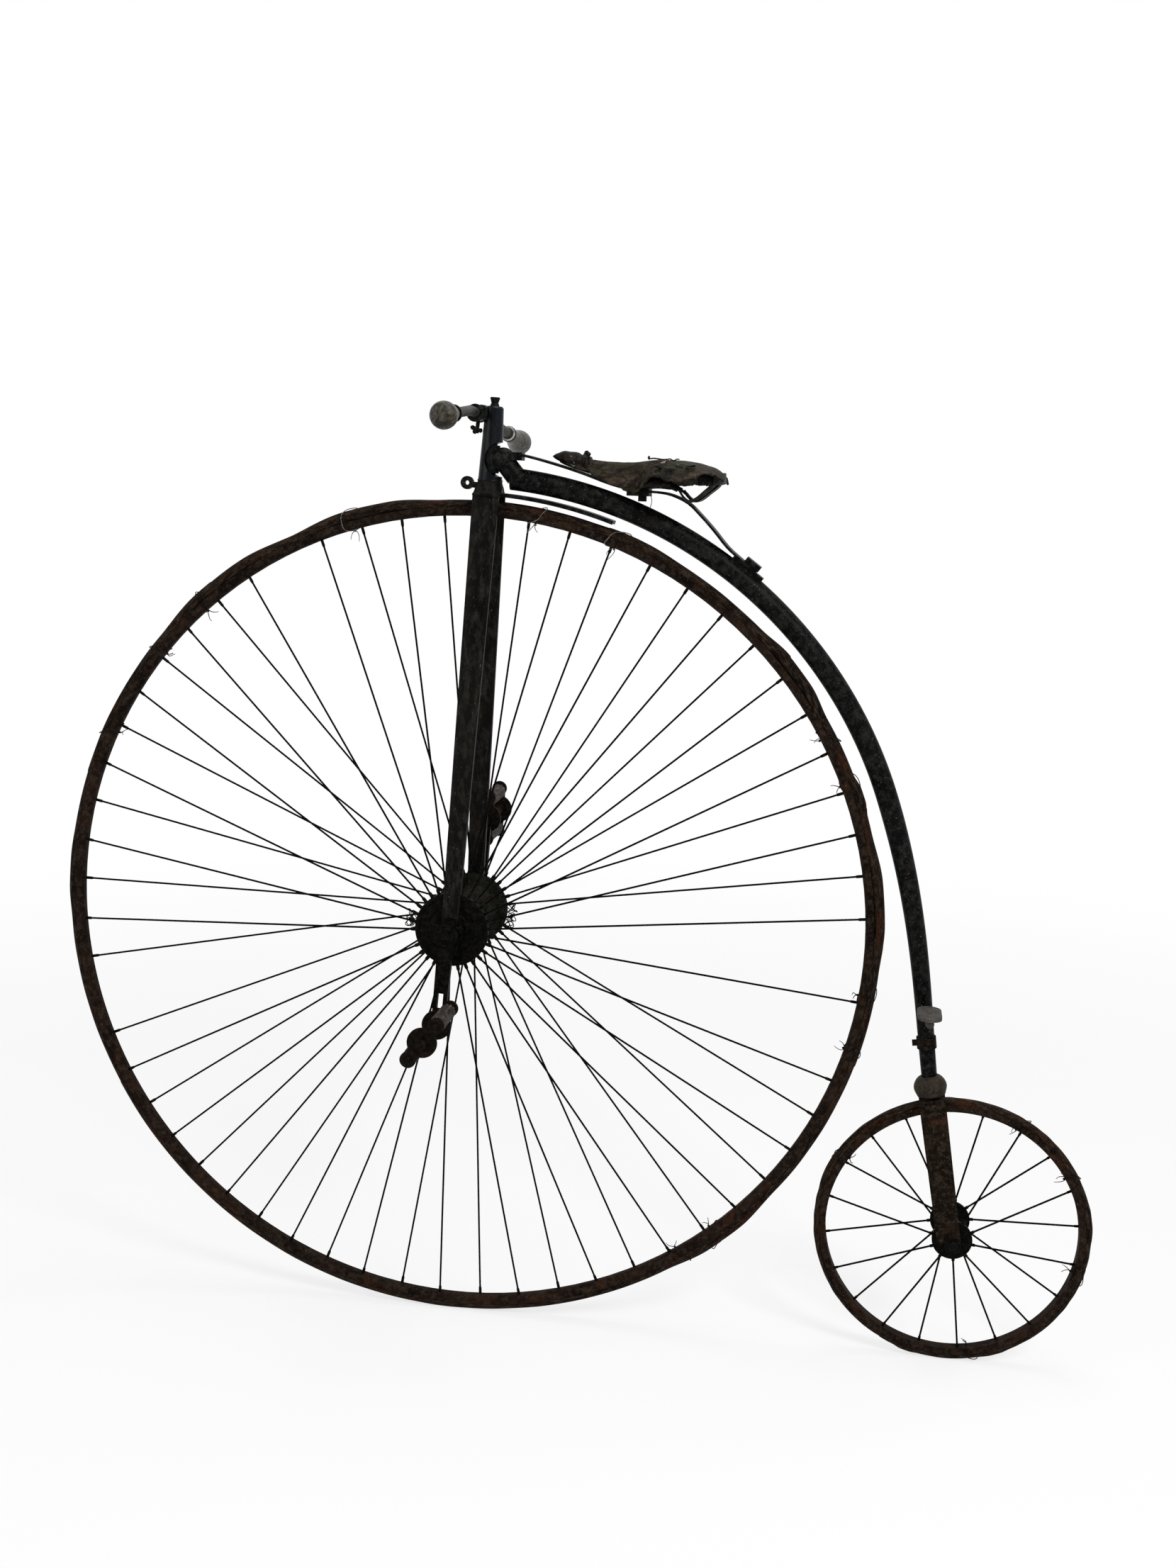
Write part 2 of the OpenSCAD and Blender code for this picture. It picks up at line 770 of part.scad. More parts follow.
// one half of the leather: the top, a skirt that leans down at the back and a flank along the nose
module half_leather() {
  intersection() {
    slab_y(-ridge_half, e) polygon(strip(leather_line, 4));
    translate([0, 0, 600]) linear_extrude(height = 300) half_plan();
  }
  translate([0, 1.5 - ridge_half, 726]) rotate([23, 0, 0]) translate([0, 0, -726]) intersection() {
    slab_y(-90, 0) polygon(strip(leather_line, 4));
    translate([0, ridge_half, 600]) linear_extrude(height = 300) intersection() {
      half_plan();
      translate([240, -150]) square([200, 150]);
    }
  }
  translate([130, -12, 0]) rotate([0, 0, -8.5]) slab_y(-1.8, 1.8)
    polygon([[2, 728], [13, 716], [49, 707], [70, 697], [95, 688], [124, 680], [132, 690],
      [136, 722], [115, 721], [84, 721], [50, 725], [18, 729]]);
}

module saddle_leather() {
  color([0.2, 0.13, 0.1]) at_hub() translate([0, 0, spring_low]) difference() {
    union() {
      half_leather();
      mirror([0, 1, 0]) half_leather();
    }
    translate([240, -19, 674]) cube([34, 38, 24]);
  }
}

front_tyre();
front_rim();
front_spokes();
front_hub();
front_axle();
crank_left();
crank_right();
pedal_pin_left();
pedal_pin_right();
pedal_left_plates();
pedal_left_rubbers();
pedal_right_plates();
pedal_right_rubbers();
fork_crown();
head_tube();
head_bolt();
fork_blade_left();
fork_blade_right();
bearing_left();
bearing_right();
handlebar_lug();
handlebar();
grip_left();
grip_right();
brake_spoon();
brake_eye();
steering_spindle();
backbone_neck();
backbone();
rear_shoulder();
rear_blade_left();
rear_blade_right();
rear_axle();
rear_nuts();
rear_hub();
rear_spokes();
rear_rim();
rear_tyre();
step();
stay_collar();
saddle_spring();
spring_clip();
saddle_clamp();
saddle_frame();
saddle_leather();
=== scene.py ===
# Penny farthing bicycle: what shows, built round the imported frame. Metres, +Z up, nose towards -X.
import math

import bmesh
import bpy
import numpy as np
from mathutils import Matrix, Vector


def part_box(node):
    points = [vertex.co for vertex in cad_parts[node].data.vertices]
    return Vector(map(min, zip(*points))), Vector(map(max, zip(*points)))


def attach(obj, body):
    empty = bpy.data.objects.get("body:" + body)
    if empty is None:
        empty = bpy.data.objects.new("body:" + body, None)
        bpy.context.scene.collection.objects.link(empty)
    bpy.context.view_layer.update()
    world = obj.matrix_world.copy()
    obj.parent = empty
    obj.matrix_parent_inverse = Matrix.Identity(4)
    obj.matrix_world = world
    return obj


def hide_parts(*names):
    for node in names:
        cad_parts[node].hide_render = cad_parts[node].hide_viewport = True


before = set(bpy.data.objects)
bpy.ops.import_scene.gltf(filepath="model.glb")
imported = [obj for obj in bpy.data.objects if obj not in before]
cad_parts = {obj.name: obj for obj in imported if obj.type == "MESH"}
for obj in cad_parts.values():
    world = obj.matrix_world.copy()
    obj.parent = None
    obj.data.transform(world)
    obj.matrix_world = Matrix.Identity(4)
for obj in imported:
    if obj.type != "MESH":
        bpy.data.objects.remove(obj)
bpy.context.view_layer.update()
turn = 2 * math.pi


def middleOf(node):
    # halfway between a node's lowest and highest corners, and half its size
    low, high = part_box(node)
    return (np.array(low) + np.array(high)) / 2, (np.array(high) - np.array(low)) / 2


hub, hubHalf = middleOf("front_tyre")
rearHub, rearHalf = middleOf("rear_tyre")
floorLevel = hub[2] - hubHalf[2]
rake = math.radians(2.2)
print("frame loaded: wheel radius", round(float(hubHalf[0]), 4), "floor", round(float(floorLevel), 4))

# the camera: its place in metres, its three directions, and its lens in millimetres
shot = {
    "place": (0.3104, -2.7226, -0.0404),
    "right": (0.98758, 0.15318, 0.03502),
    "down": (0.05942, -0.15768, -0.98570),
    "forward": (-0.14547, 0.97554, -0.16483),
    "lens": 41.14, "sensor": 36, "farClip": 200,
}
cameraData = bpy.data.cameras.new("camera")
cameraData.sensor_width = shot["sensor"]
cameraData.lens = shot["lens"]
cameraData.clip_end = shot["farClip"]
camera = bpy.data.objects.new("camera", cameraData)
bpy.context.scene.collection.objects.link(camera)
axes = Matrix([shot["right"], [-v for v in shot["down"]], [-v for v in shot["forward"]]]).transposed()
camera.matrix_world = Matrix.Translation(shot["place"]) @ axes.to_4x4()
bpy.context.scene.camera = camera


# places on the machine are given in millimetres
def fromHub(points):
    # millimetres from the tall wheel's axle, put in the row's metres
    return hub + np.asarray(points, float) / 1000


def fromRear(points):
    # millimetres from the small wheel's axle
    return rearHub + np.asarray(points, float) / 1000


def onSteering(points):
    # millimetres from the tall axle along the raked head: turned back by the rake about the axle
    p = np.asarray(points, float)
    x = p[..., 0] * math.cos(rake) + p[..., 2] * math.sin(rake)
    z = -p[..., 0] * math.sin(rake) + p[..., 2] * math.cos(rake)
    return fromHub(np.stack([x, p[..., 1], z], -1))


def aroundWheel(radius, angle, depth):
    # millimetres at a radius, an angle clockwise from the rear in degrees, and a depth along the axle
    a = np.radians(angle)
    return np.stack(np.broadcast_arrays(radius * np.cos(a), depth, -radius * np.sin(a)), -1)


# sums of waves stand in for random numbers
def ripple(t, seed):
    # seven sines of rising pitch and falling height, all set by the seed; between about -1 and 1
    k = np.arange(1, 8)
    pitch = k * (1 + 0.37 * np.sin(seed * 12.9898 + k * 78.233))
    phase = turn * np.modf(np.abs(np.sin(seed * 3.17 + k * 41.1)) * 43.7)[0]
    return (np.sin(np.asarray(t)[..., None] * pitch + phase) / k ** 0.7).sum(-1) / 2.2


def ringRipple(angle, seed, lowest=2, count=9):
    # sines that close on themselves round a circle
    k = lowest + np.arange(count) * 3 + np.floor(3 * np.abs(np.sin(seed + np.arange(count))))
    phase = turn * np.modf(np.abs(np.sin(seed * 5.3 + k * 17.7)) * 97.3)[0]
    return (np.sin(np.asarray(angle)[..., None] * k + phase) / k ** 0.5).sum(-1) / 1.6


def easeStep(low, high, x):
    # nought below low, one above high, and a smooth S between
    t = np.clip((np.asarray(x, float) - low) / (high - low), 0, 1)
    return t * t * (3 - 2 * t)


def through(knots, at):
    # a cubic through knots of place and height, with slopes taken from the neighbours
    k = np.asarray(knots, float)
    slope = np.gradient(k[:, 1], k[:, 0])
    i = np.clip(np.searchsorted(k[:, 0], at) - 1, 0, len(k) - 2)
    width = k[i + 1, 0] - k[i, 0]
    t = np.clip((at - k[i, 0]) / width, 0, 1)
    return ((2 * t ** 3 - 3 * t ** 2 + 1) * k[i, 1] + (t ** 3 - 2 * t ** 2 + t) * width * slope[i]
            + (3 * t ** 2 - 2 * t ** 3) * k[i + 1, 1] + (t ** 3 - t ** 2) * width * slope[i + 1])


def unit(v):
    # each vector over its own length
    return v / np.linalg.norm(v, axis=-1, keepdims=True)


# surfaces are grids of points
def gridFaces(nu, nv, closeU, closeV):
    # the four corners of every cell of a grid, wrapping where asked
    index = np.arange(nu * nv).reshape(nu, nv)
    if closeU:
        index = np.vstack([index, index[:1]])
    if closeV:
        index = np.hstack([index, index[:, :1]])
    return np.stack([index[:-1, :-1], index[1:, :-1], index[1:, 1:], index[:-1, 1:]], -1).reshape(-1, 4)


def shell(points, closeU=False, closeV=True, cap=True):
    # a grid of points as vertices and faces, each open end closed with a fan to its own middle
    nu, nv = points.shape[:2]
    vertices = points.reshape(-1, 3)
    faces = gridFaces(nu, nv, closeU, closeV).tolist()
    if cap and not closeU:
        for row, first in ((0, 0), (nu - 1, (nu - 1) * nv)):
            ring = first + np.arange(nv)
            middle = len(vertices)
            vertices = np.vstack([vertices, points[row].mean(0)])
            fan = np.stack([ring, np.roll(ring, -1), np.full(nv, middle)], -1)
            faces += (fan if row == 0 else fan[:, ::-1]).tolist()
    return vertices, faces


def sweep(path, side, across=None, sides=10, power=1.0, ref=(0.21, 0.31, 0.93), closed=False):
    # a section carried along a path: cosine by side and sine by across, each raised to a power that
    # squares it off, set out on two directions at right angles to the path
    path = np.asarray(path, float)
    if closed:
        tangent = unit(np.roll(path, -1, 0) - np.roll(path, 1, 0))
    else:
        tangent = unit(np.gradient(path, axis=0))
    first = unit(np.cross(np.broadcast_to(np.asarray(ref, float), path.shape), tangent))
    second = np.cross(tangent, first)
    a = turn * np.arange(sides) / sides
    c = np.sign(np.cos(a)) * np.abs(np.cos(a)) ** power
    s = np.sign(np.sin(a)) * np.abs(np.sin(a)) ** power
    side = np.broadcast_to(side, len(path)).reshape(-1, 1, 1)
    across = side if across is None else np.broadcast_to(across, len(path)).reshape(-1, 1, 1)
    points = path[:, None] + side * c[:, None] * first[:, None] + across * s[:, None] * second[:, None]
    return shell(points, closeU=closed, closeV=True, cap=not closed)


def turned(profile, start, axis, sides, size=1):
    # a profile of radius and distance in millimetres, times a size, turned about an axis that begins at start
    profile = np.asarray(profile, float) / 1000 * size
    axis = unit(np.asarray(axis, float))
    first = unit(np.cross(axis, (0.36, 0.48, 0.8)))
    second = np.cross(axis, first)
    a = turn * np.arange(sides) / sides
    ring = np.cos(a)[:, None] * first + np.sin(a)[:, None] * second
    points = (np.asarray(start, float) + profile[:, 1][:, None, None] * axis
              + np.maximum(profile[:, 0], 1e-5)[:, None, None] * ring)
    return shell(points)


def joined(parts):
    # several vertex and face lists as one
    vertices, faces, first = [], [], 0
    for v, f in parts:
        vertices.append(v)
        faces += [[i + first for i in face] for face in f]
        first += len(v)
    return np.vstack(vertices), faces


def addPiece(name, parts, finish, body, replaces=(), uv=None, sharp=False, outward=True):
    # puts joined surfaces in one mesh, faces turned outwards, with its finish and body
    vertices, faces = joined(parts) if isinstance(parts, list) else parts
    mesh = bpy.data.meshes.new(name)
    mesh.from_pydata(vertices.tolist(), [], faces)
    if uv is not None:
        layer = mesh.uv_layers.new(name="UVMap")
        layer.data.foreach_set("uv", np.asarray(uv, np.float32).ravel())
    if outward:
        work = bmesh.new()
        work.from_mesh(mesh)
        bmesh.ops.recalc_face_normals(work, faces=work.faces)
        work.to_mesh(mesh)
        work.free()
    mesh.polygons.foreach_set("use_smooth", np.ones(len(mesh.polygons), bool))
    mesh.materials.append(made[finish])
    piece = bpy.data.objects.new(name, mesh)
    bpy.context.scene.collection.objects.link(piece)
    if sharp:
        mesh.set_sharp_from_angle(angle=math.radians(38))
    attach(piece, body)
    if replaces:
        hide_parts(*replaces)
    return piece


class Nodes:
    # short calls for making a material and its shader nodes
    def __init__(self, name):
        self.material = bpy.data.materials.new(name)
        self.material.use_nodes = True
        self.tree = self.material.node_tree
        self.shader = self.tree.nodes["Principled BSDF"]

    def add(self, kind, **settings):
        # a node of a kind, with its settings
        node = self.tree.nodes.new(kind)
        for key, value in settings.items():
            setattr(node, key, value)
        return node

    def link(self, source, target):
        self.tree.links.new(source, target)

    def place(self, useUv, stretch):
        # where a point is on the piece, stretched along each axis
        coordinate = self.add("ShaderNodeTexCoord")
        mapping = self.add("ShaderNodeMapping")
        mapping.inputs["Scale"].default_value = stretch
        self.link(coordinate.outputs["UV" if useUv else "Object"], mapping.inputs["Vector"])
        return mapping.outputs["Vector"]

    def noise(self, vector, scale, detail=5, rough=0.6, warp=0.0):
        node = self.add("ShaderNodeTexNoise")
        node.inputs["Scale"].default_value = scale
        node.inputs["Detail"].default_value = detail
        node.inputs["Roughness"].default_value = rough
        node.inputs["Distortion"].default_value = warp
        self.link(vector, node.inputs["Vector"])
        return node.outputs["Fac"]

    def cells(self, vector, scale):
        # how far a point is from the edge of its cell
        node = self.add("ShaderNodeTexVoronoi", feature="DISTANCE_TO_EDGE")
        node.inputs["Scale"].default_value = scale
        self.link(vector, node.inputs["Vector"])
        return node.outputs["Distance"]

    def warped(self, vector, scale, share):
        # the place pushed about by a noise's colour, less its middle grey
        node = self.add("ShaderNodeTexNoise")
        node.inputs["Scale"].default_value = scale
        self.link(vector, node.inputs["Vector"])
        pushed = self.add("ShaderNodeVectorMath", operation="MULTIPLY_ADD")
        self.link(node.outputs["Color"], pushed.inputs[0])
        pushed.inputs[1].default_value = (share, share, share)
        self.link(vector, pushed.inputs[2])
        return pushed.outputs["Vector"]

    def span(self, value, low, high, outLow=0.0, outHigh=1.0):
        # a value between low and high, carried to a range of its own
        node = self.add("ShaderNodeMapRange")
        for key, number in (("From Min", low), ("From Max", high), ("To Min", outLow), ("To Max", outHigh)):
            node.inputs[key].default_value = number
        self.link(value, node.inputs["Value"])
        return node.outputs["Result"]

    def sum(self, first, second, share):
        # the first and a share of the second
        scaled = self.add("ShaderNodeMath", operation="MULTIPLY")
        self.link(second, scaled.inputs[0])
        scaled.inputs[1].default_value = share
        node = self.add("ShaderNodeMath", operation="ADD")
        self.link(first, node.inputs[0])
        self.link(scaled.outputs[0], node.inputs[1])
        return node.outputs[0]

    def blend(self, factor, first, second):
        # from the first colour to the second as the factor goes from nought to one
        node = self.add("ShaderNodeMix", data_type="RGBA")
        self.link(factor, node.inputs["Factor"])
        for socket, colour in (("A", first), ("B", second)):
            target = [s for s in node.inputs if s.name == socket and s.type == "RGBA"][0]
            if isinstance(colour, tuple):
                target.default_value = (*colour, 1)
            else:
                self.link(colour, target)
        return [s for s in node.outputs if s.type == "RGBA"][0]

    def bump(self, height, strength, distance):
        node = self.add("ShaderNodeBump")
        node.inputs["Strength"].default_value = strength
        node.inputs["Distance"].default_value = distance
        self.link(height, node.inputs["Height"])
        self.link(node.outputs["Normal"], self.shader.inputs["Normal"])


def weathered(name, look):
    # two tones in patches, a light grain over them, specks, rust or grime in blots, and pits as bump
    n = Nodes(name)
    vector = n.place(look.get("uv", False), look.get("stretch", (1, 1, 1)))
    patch = n.noise(vector, look["patch"], 5, 0.62, 0.4)
    grain = n.noise(vector, look["grain"], 8, 0.72)
    fine = n.noise(vector, look["grain"] * 3.7, 4, 0.6)
    colour = n.blend(n.span(patch, 0.38, 0.62), look["dark"], look["mid"])
    colour = n.blend(n.span(grain, 0.46, 0.72, 0, look.get("lightShare", 0.8)), colour, look["light"])
    if "rust" in look:
        blot = n.noise(vector, look["rustScale"], 7, 0.68, 0.7)
        low = look["rustFrom"]
        colour = n.blend(n.span(blot, low, low + 0.12, 0, look.get("rustShare", 0.9)), colour, look["rust"])
    if "speck" in look:
        dots = n.noise(vector, look["speckScale"], 2, 0.5)
        low = look["speckFrom"]
        colour = n.blend(n.span(dots, low, low + 0.07, 0, look.get("speckShare", 0.8)), colour, look["speck"])
    if look.get("crack"):
        edge = n.cells(n.warped(vector, 18, 0.012), look["crack"])
        colour = n.blend(n.span(edge, 0.0, 0.07, 0.75, 0), colour, look["crackTone"])
    n.link(colour, n.shader.inputs["Base Color"])
    n.link(n.span(grain, 0.3, 0.7, *look["rough"]), n.shader.inputs["Roughness"])
    n.shader.inputs["Metallic"].default_value = look.get("metallic", 0.0)
    n.shader.inputs["Specular IOR Level"].default_value = look.get("specular", 0.3)
    height = n.sum(n.sum(grain, fine, 0.35), patch, 0.5)
    if look.get("crack"):
        lines = n.span(edge, 0.0, 0.07)
        height = n.sum(height, lines, look.get("crackDepth", 0.8))
    n.bump(height, look.get("bump", 0.35), look.get("depth", 0.0008))
    return n.material


# linear tones, then scales, shares and depths; depths are in metres
finishes = {
    "headPaint": dict(
        dark=(0.00045, 0.0006, 0.00095), mid=(0.0014, 0.002, 0.0029), light=(0.017, 0.022, 0.027),
        lightShare=0.5, patch=14, grain=70, stretch=(1, 1, 0.3), rough=(0.2, 0.34), specular=0.08,
        speck=(0.035, 0.04, 0.042), speckScale=380, speckFrom=0.69, bump=0.2, depth=0.0005),
    # black paint: its lighter grain and pale specks are partly real wear and partly painted highlights, lighter
    # flecks that stand for glints of light along the backbone
    "blackPaintWithPaintedGlints": dict(
        dark=(0.0005, 0.0005, 0.0005), mid=(0.0024, 0.0024, 0.0022), light=(0.026, 0.0255, 0.024),
        lightShare=0.75, patch=9, grain=90, rough=(0.3, 0.52), specular=0.035,
        rust=(0.0105, 0.0062, 0.0040), rustScale=11, rustFrom=0.6, rustShare=0.7,
        speck=(0.085, 0.085, 0.08), speckScale=420, speckFrom=0.66, bump=0.4, depth=0.0008),
    "bladePaint": dict(
        dark=(0.00096, 0.0009, 0.00072), mid=(0.0046, 0.0043, 0.0034), light=(0.027, 0.025, 0.021), patch=8,
        grain=120, stretch=(1, 1, 0.35), rough=(0.36, 0.58), specular=0.03, rust=(0.013, 0.0085, 0.0055),
        rustScale=14, rustFrom=0.58, rustShare=0.7, speck=(0.06, 0.058, 0.052), speckScale=460,
        speckFrom=0.68, bump=0.4, depth=0.0007),
    "rustedIron": dict(
        dark=(0.002, 0.0013, 0.00084), mid=(0.0083, 0.0049, 0.0031), light=(0.041, 0.029, 0.02),
        lightShare=0.85, patch=16, grain=130, rough=(0.6, 0.85), specular=0.025,
        rust=(0.036, 0.0155, 0.008), rustScale=19, rustFrom=0.58, rustShare=0.75,
        speck=(0.12, 0.095, 0.075), speckScale=520, speckFrom=0.68, bump=0.5, depth=0.0009),
    "darkIron": dict(
        dark=(0.0003, 0.0003, 0.00025), mid=(0.0013, 0.0012, 0.00096), light=(0.013, 0.012, 0.0094),
        lightShare=0.75, patch=22, grain=140, rough=(0.36, 0.6), specular=0.03,
        rust=(0.0105, 0.0065, 0.0042), rustScale=26, rustFrom=0.6, bump=0.4, depth=0.0006),
    "flangeIron": dict(
        dark=(0.0021, 0.002, 0.0014), mid=(0.0092, 0.0093, 0.0065), light=(0.028, 0.029, 0.022), patch=30,
        grain=150, rough=(0.5, 0.75), specular=0.03, rust=(0.015, 0.009, 0.0058), rustScale=24,
        rustFrom=0.55, bump=0.45, depth=0.0006),
    "spokeIron": dict(
        dark=(0.0003, 0.00025, 0.0002), mid=(0.0009, 0.00075, 0.0006), light=(0.0068, 0.0054, 0.004),
        patch=30, grain=260, rough=(0.5, 0.75), specular=0.02, bump=0.2, depth=0.0003),
    "wornSteel": dict(
        dark=(0.010, 0.009, 0.0078), mid=(0.034, 0.0315, 0.028), light=(0.10, 0.094, 0.086), patch=24,
        grain=160, rough=(0.4, 0.62), metallic=0.2, specular=0.12, rust=(0.028, 0.0165, 0.010),
        rustScale=34, rustFrom=0.58, bump=0.3, depth=0.0005),
    "stepIron": dict(
        dark=(0.027, 0.024, 0.022), mid=(0.061, 0.056, 0.052), light=(0.13, 0.12, 0.11), lightShare=0.7,
        patch=40, grain=220, rough=(0.55, 0.75), metallic=0.1, specular=0.08, rust=(0.04, 0.027, 0.018),
        rustScale=48, rustFrom=0.6, bump=0.3, depth=0.0004),
    "barMetal": dict(
        dark=(0.0068, 0.0065, 0.0052), mid=(0.030, 0.031, 0.0265), light=(0.085, 0.087, 0.077), patch=34,
        grain=150, rough=(0.42, 0.62), metallic=0.1, specular=0.1, rust=(0.020, 0.0135, 0.009),
        rustScale=30, rustFrom=0.55, bump=0.35, depth=0.0006),
    "tyreRubber": dict(
        dark=(0.0023, 0.0013, 0.00077), mid=(0.012, 0.007, 0.0044), light=(0.067, 0.046, 0.033),
        lightShare=0.85, patch=9, grain=60, uv=True, stretch=(1, 3.2, 1), rough=(0.5, 0.8), specular=0.03,
        rust=(0.034, 0.0125, 0.006), rustScale=13, rustFrom=0.54, rustShare=0.85, speck=(0.17, 0.15, 0.13),
        speckScale=260, speckFrom=0.69, crack=95, crackDepth=0.7, crackTone=(0.003, 0.0016, 0.001),
        bump=0.65, depth=0.0013),
    "rimIron": dict(
        dark=(0.0022, 0.0012, 0.00078), mid=(0.011, 0.0059, 0.0038), light=(0.044, 0.03, 0.021),
        lightShare=0.75, patch=12, grain=110, rough=(0.55, 0.8), specular=0.03, rust=(0.036, 0.0145, 0.007),
        rustScale=15, rustFrom=0.55, rustShare=0.85, speck=(0.12, 0.10, 0.085), speckScale=480,
        speckFrom=0.69, bump=0.5, depth=0.0009),
    "pedalRubber": dict(
        dark=(0.0096, 0.0072, 0.0058), mid=(0.031, 0.024, 0.019), light=(0.15, 0.13, 0.12), patch=36,
        grain=170, stretch=(1, 0.35, 1), rough=(0.55, 0.8), specular=0.06, bump=0.5, depth=0.0007),
    "gripHorn": dict(
        dark=(0.006, 0.005, 0.003), mid=(0.029, 0.023, 0.015), light=(0.14, 0.12, 0.087), lightShare=1.0,
        patch=34, grain=130, rough=(0.22, 0.42), specular=0.2, rust=(0.020, 0.027, 0.0115), rustScale=24,
        rustFrom=0.47, rustShare=0.95, speck=(0.0045, 0.0035, 0.0022), speckScale=150, speckFrom=0.54,
        crack=42, crackTone=(0.004, 0.003, 0.002), crackDepth=0.6, bump=0.6, depth=0.0012),
    "paleFerrule": dict(
        dark=(0.12, 0.115, 0.105), mid=(0.34, 0.33, 0.31), light=(0.55, 0.53, 0.5), patch=60, grain=260,
        rough=(0.45, 0.6), specular=0.3, bump=0.15, depth=0.0003),
    "wire": dict(
        dark=(0.045, 0.04, 0.036), mid=(0.12, 0.108, 0.098), light=(0.3, 0.28, 0.26), patch=70, grain=320,
        rough=(0.5, 0.7), specular=0.1, bump=0.2, depth=0.0002),
    "darkWire": dict(
        dark=(0.0025, 0.002, 0.0017), mid=(0.008, 0.0068, 0.0056), light=(0.035, 0.031, 0.027), patch=70,
        grain=320, rough=(0.5, 0.7), specular=0.04, bump=0.2, depth=0.0002),
    "saddleLeather": dict(
        dark=(0.0019, 0.0014, 0.001), mid=(0.021, 0.0138, 0.0085), light=(0.095, 0.074, 0.052), patch=26,
        grain=70, stretch=(0.45, 1, 1), rough=(0.5, 0.75), specular=0.045, rust=(0.021, 0.0255, 0.0125),
        rustScale=13, rustFrom=0.5, rustShare=0.7, speck=(0.22, 0.19, 0.155), speckScale=210, speckFrom=0.7,
        crack=70, crackDepth=0.6, crackTone=(0.004, 0.0028, 0.002), bump=0.8, depth=0.0013),
    "strapLeather": dict(
        dark=(0.0075, 0.0065, 0.0058), mid=(0.020, 0.0185, 0.0165), light=(0.055, 0.051, 0.046), patch=40,
        grain=160, rough=(0.5, 0.7), specular=0.06, bump=0.5, depth=0.0007),
    "shoulderIron": dict(
        dark=(0.0095, 0.0068, 0.0048), mid=(0.0275, 0.021, 0.0148), light=(0.06, 0.049, 0.037), patch=22,
        grain=150, rough=(0.45, 0.7), specular=0.06, rust=(0.018, 0.0105, 0.0068), rustScale=24,
        rustFrom=0.56, bump=0.4, depth=0.0007),
    "noseLeather": dict(
        dark=(0.0012, 0.001, 0.0009), mid=(0.0062, 0.0044, 0.0032), light=(0.05, 0.041, 0.033),
        lightShare=0.75, patch=70, grain=120, rough=(0.42, 0.7), specular=0.05, speck=(0.24, 0.2, 0.16),
        speckScale=230, speckFrom=0.69, bump=0.8, depth=0.0014),
    "plateIron": dict(
        dark=(0.001, 0.0006, 0.0004), mid=(0.0058, 0.0036, 0.0025), light=(0.022, 0.0155, 0.011), patch=40,
        grain=170, rough=(0.45, 0.7), specular=0.03, rust=(0.0135, 0.0052, 0.003), rustScale=42,
        rustFrom=0.56, bump=0.45, depth=0.0007),
    "tornEdge": dict(
        dark=(0.09, 0.07, 0.05), mid=(0.22, 0.18, 0.14), light=(0.42, 0.37, 0.31), patch=90, grain=300,
        rough=(0.75, 0.9), specular=0.04, bump=0.4, depth=0.0005),
}
made = {name: weathered(name, look) for name, look in finishes.items()}
print("finishes made:", len(made))

# which nodes of the frame wear which finish
nodesOf = {
    "rimIron": "front_rim rear_rim front_tyre rear_tyre",
    "spokeIron": "front_spokes rear_spokes",
    "flangeIron": "front_hub",
    "darkIron": "rear_hub front_axle rear_axle crank_left crank_right bearing_left bearing_right "
                "steering_spindle rear_nuts",
    "wornSteel": "pedal_pin_left pedal_pin_right",
    "plateIron": "pedal_left_plates pedal_right_plates",
    "bladePaint": "fork_crown fork_blade_left fork_blade_right",
    "headPaint": "head_tube",
    "blackPaintWithPaintedGlints": "head_bolt handlebar_lug brake_spoon brake_eye backbone_neck saddle_spring "
                  "spring_clip saddle_clamp saddle_frame backbone",
    "barMetal": "handlebar",
    "gripHorn": "grip_left grip_right",
    "shoulderIron": "rear_shoulder",
    "rustedIron": "rear_blade_left rear_blade_right stay_collar",
    "stepIron": "step",
    "pedalRubber": "pedal_left_rubbers pedal_right_rubbers",
    "saddleLeather": "saddle_leather",
}
for finish, nodes in nodesOf.items():
    for node in nodes.split():
        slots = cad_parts[node].data.materials
        slots.clear()
        slots.append(made[finish])

# tyres: millimetres, and degrees clockwise from the rear
frontTyre = {
    "section": 10.5, "steps": 1440, "sides": 22, "seed": 1.7,
    # where the rubber has lifted: from, to, height
    "lifts": [(220, 245, 5.8), (244, 266, 6.0), (313, 328, 5.8), (336, 342, 4.0), (344, 364, 5.0),
              (38, 58, 5.4), (286, 300, 2.0), (176, 190, 1.8)],
    # where one length of rubber laps the next
    "laps": [231, 262, 289, 318.5, 341, 17, 49, 96, 151, 198],
}
rearTyre = {
    "section": 8.25, "steps": 640, "sides": 20, "seed": 4.1,
    "lifts": [(192, 214, 2.2), (338, 362, 1.2), (60, 75, 1.5), (100, 112, 2.0), (256, 270, 1.4)],
    "laps": [208, 330, 12, 64, 118, 262],
}
# how much the rubber is flattened, squashed, broadened and chipped, and steps at each lap
wear = {"flat": 0.06, "squash": 0.05, "broad": 0.04, "chip": 0.5, "lapStep": 0.55, "slope": 0.35}


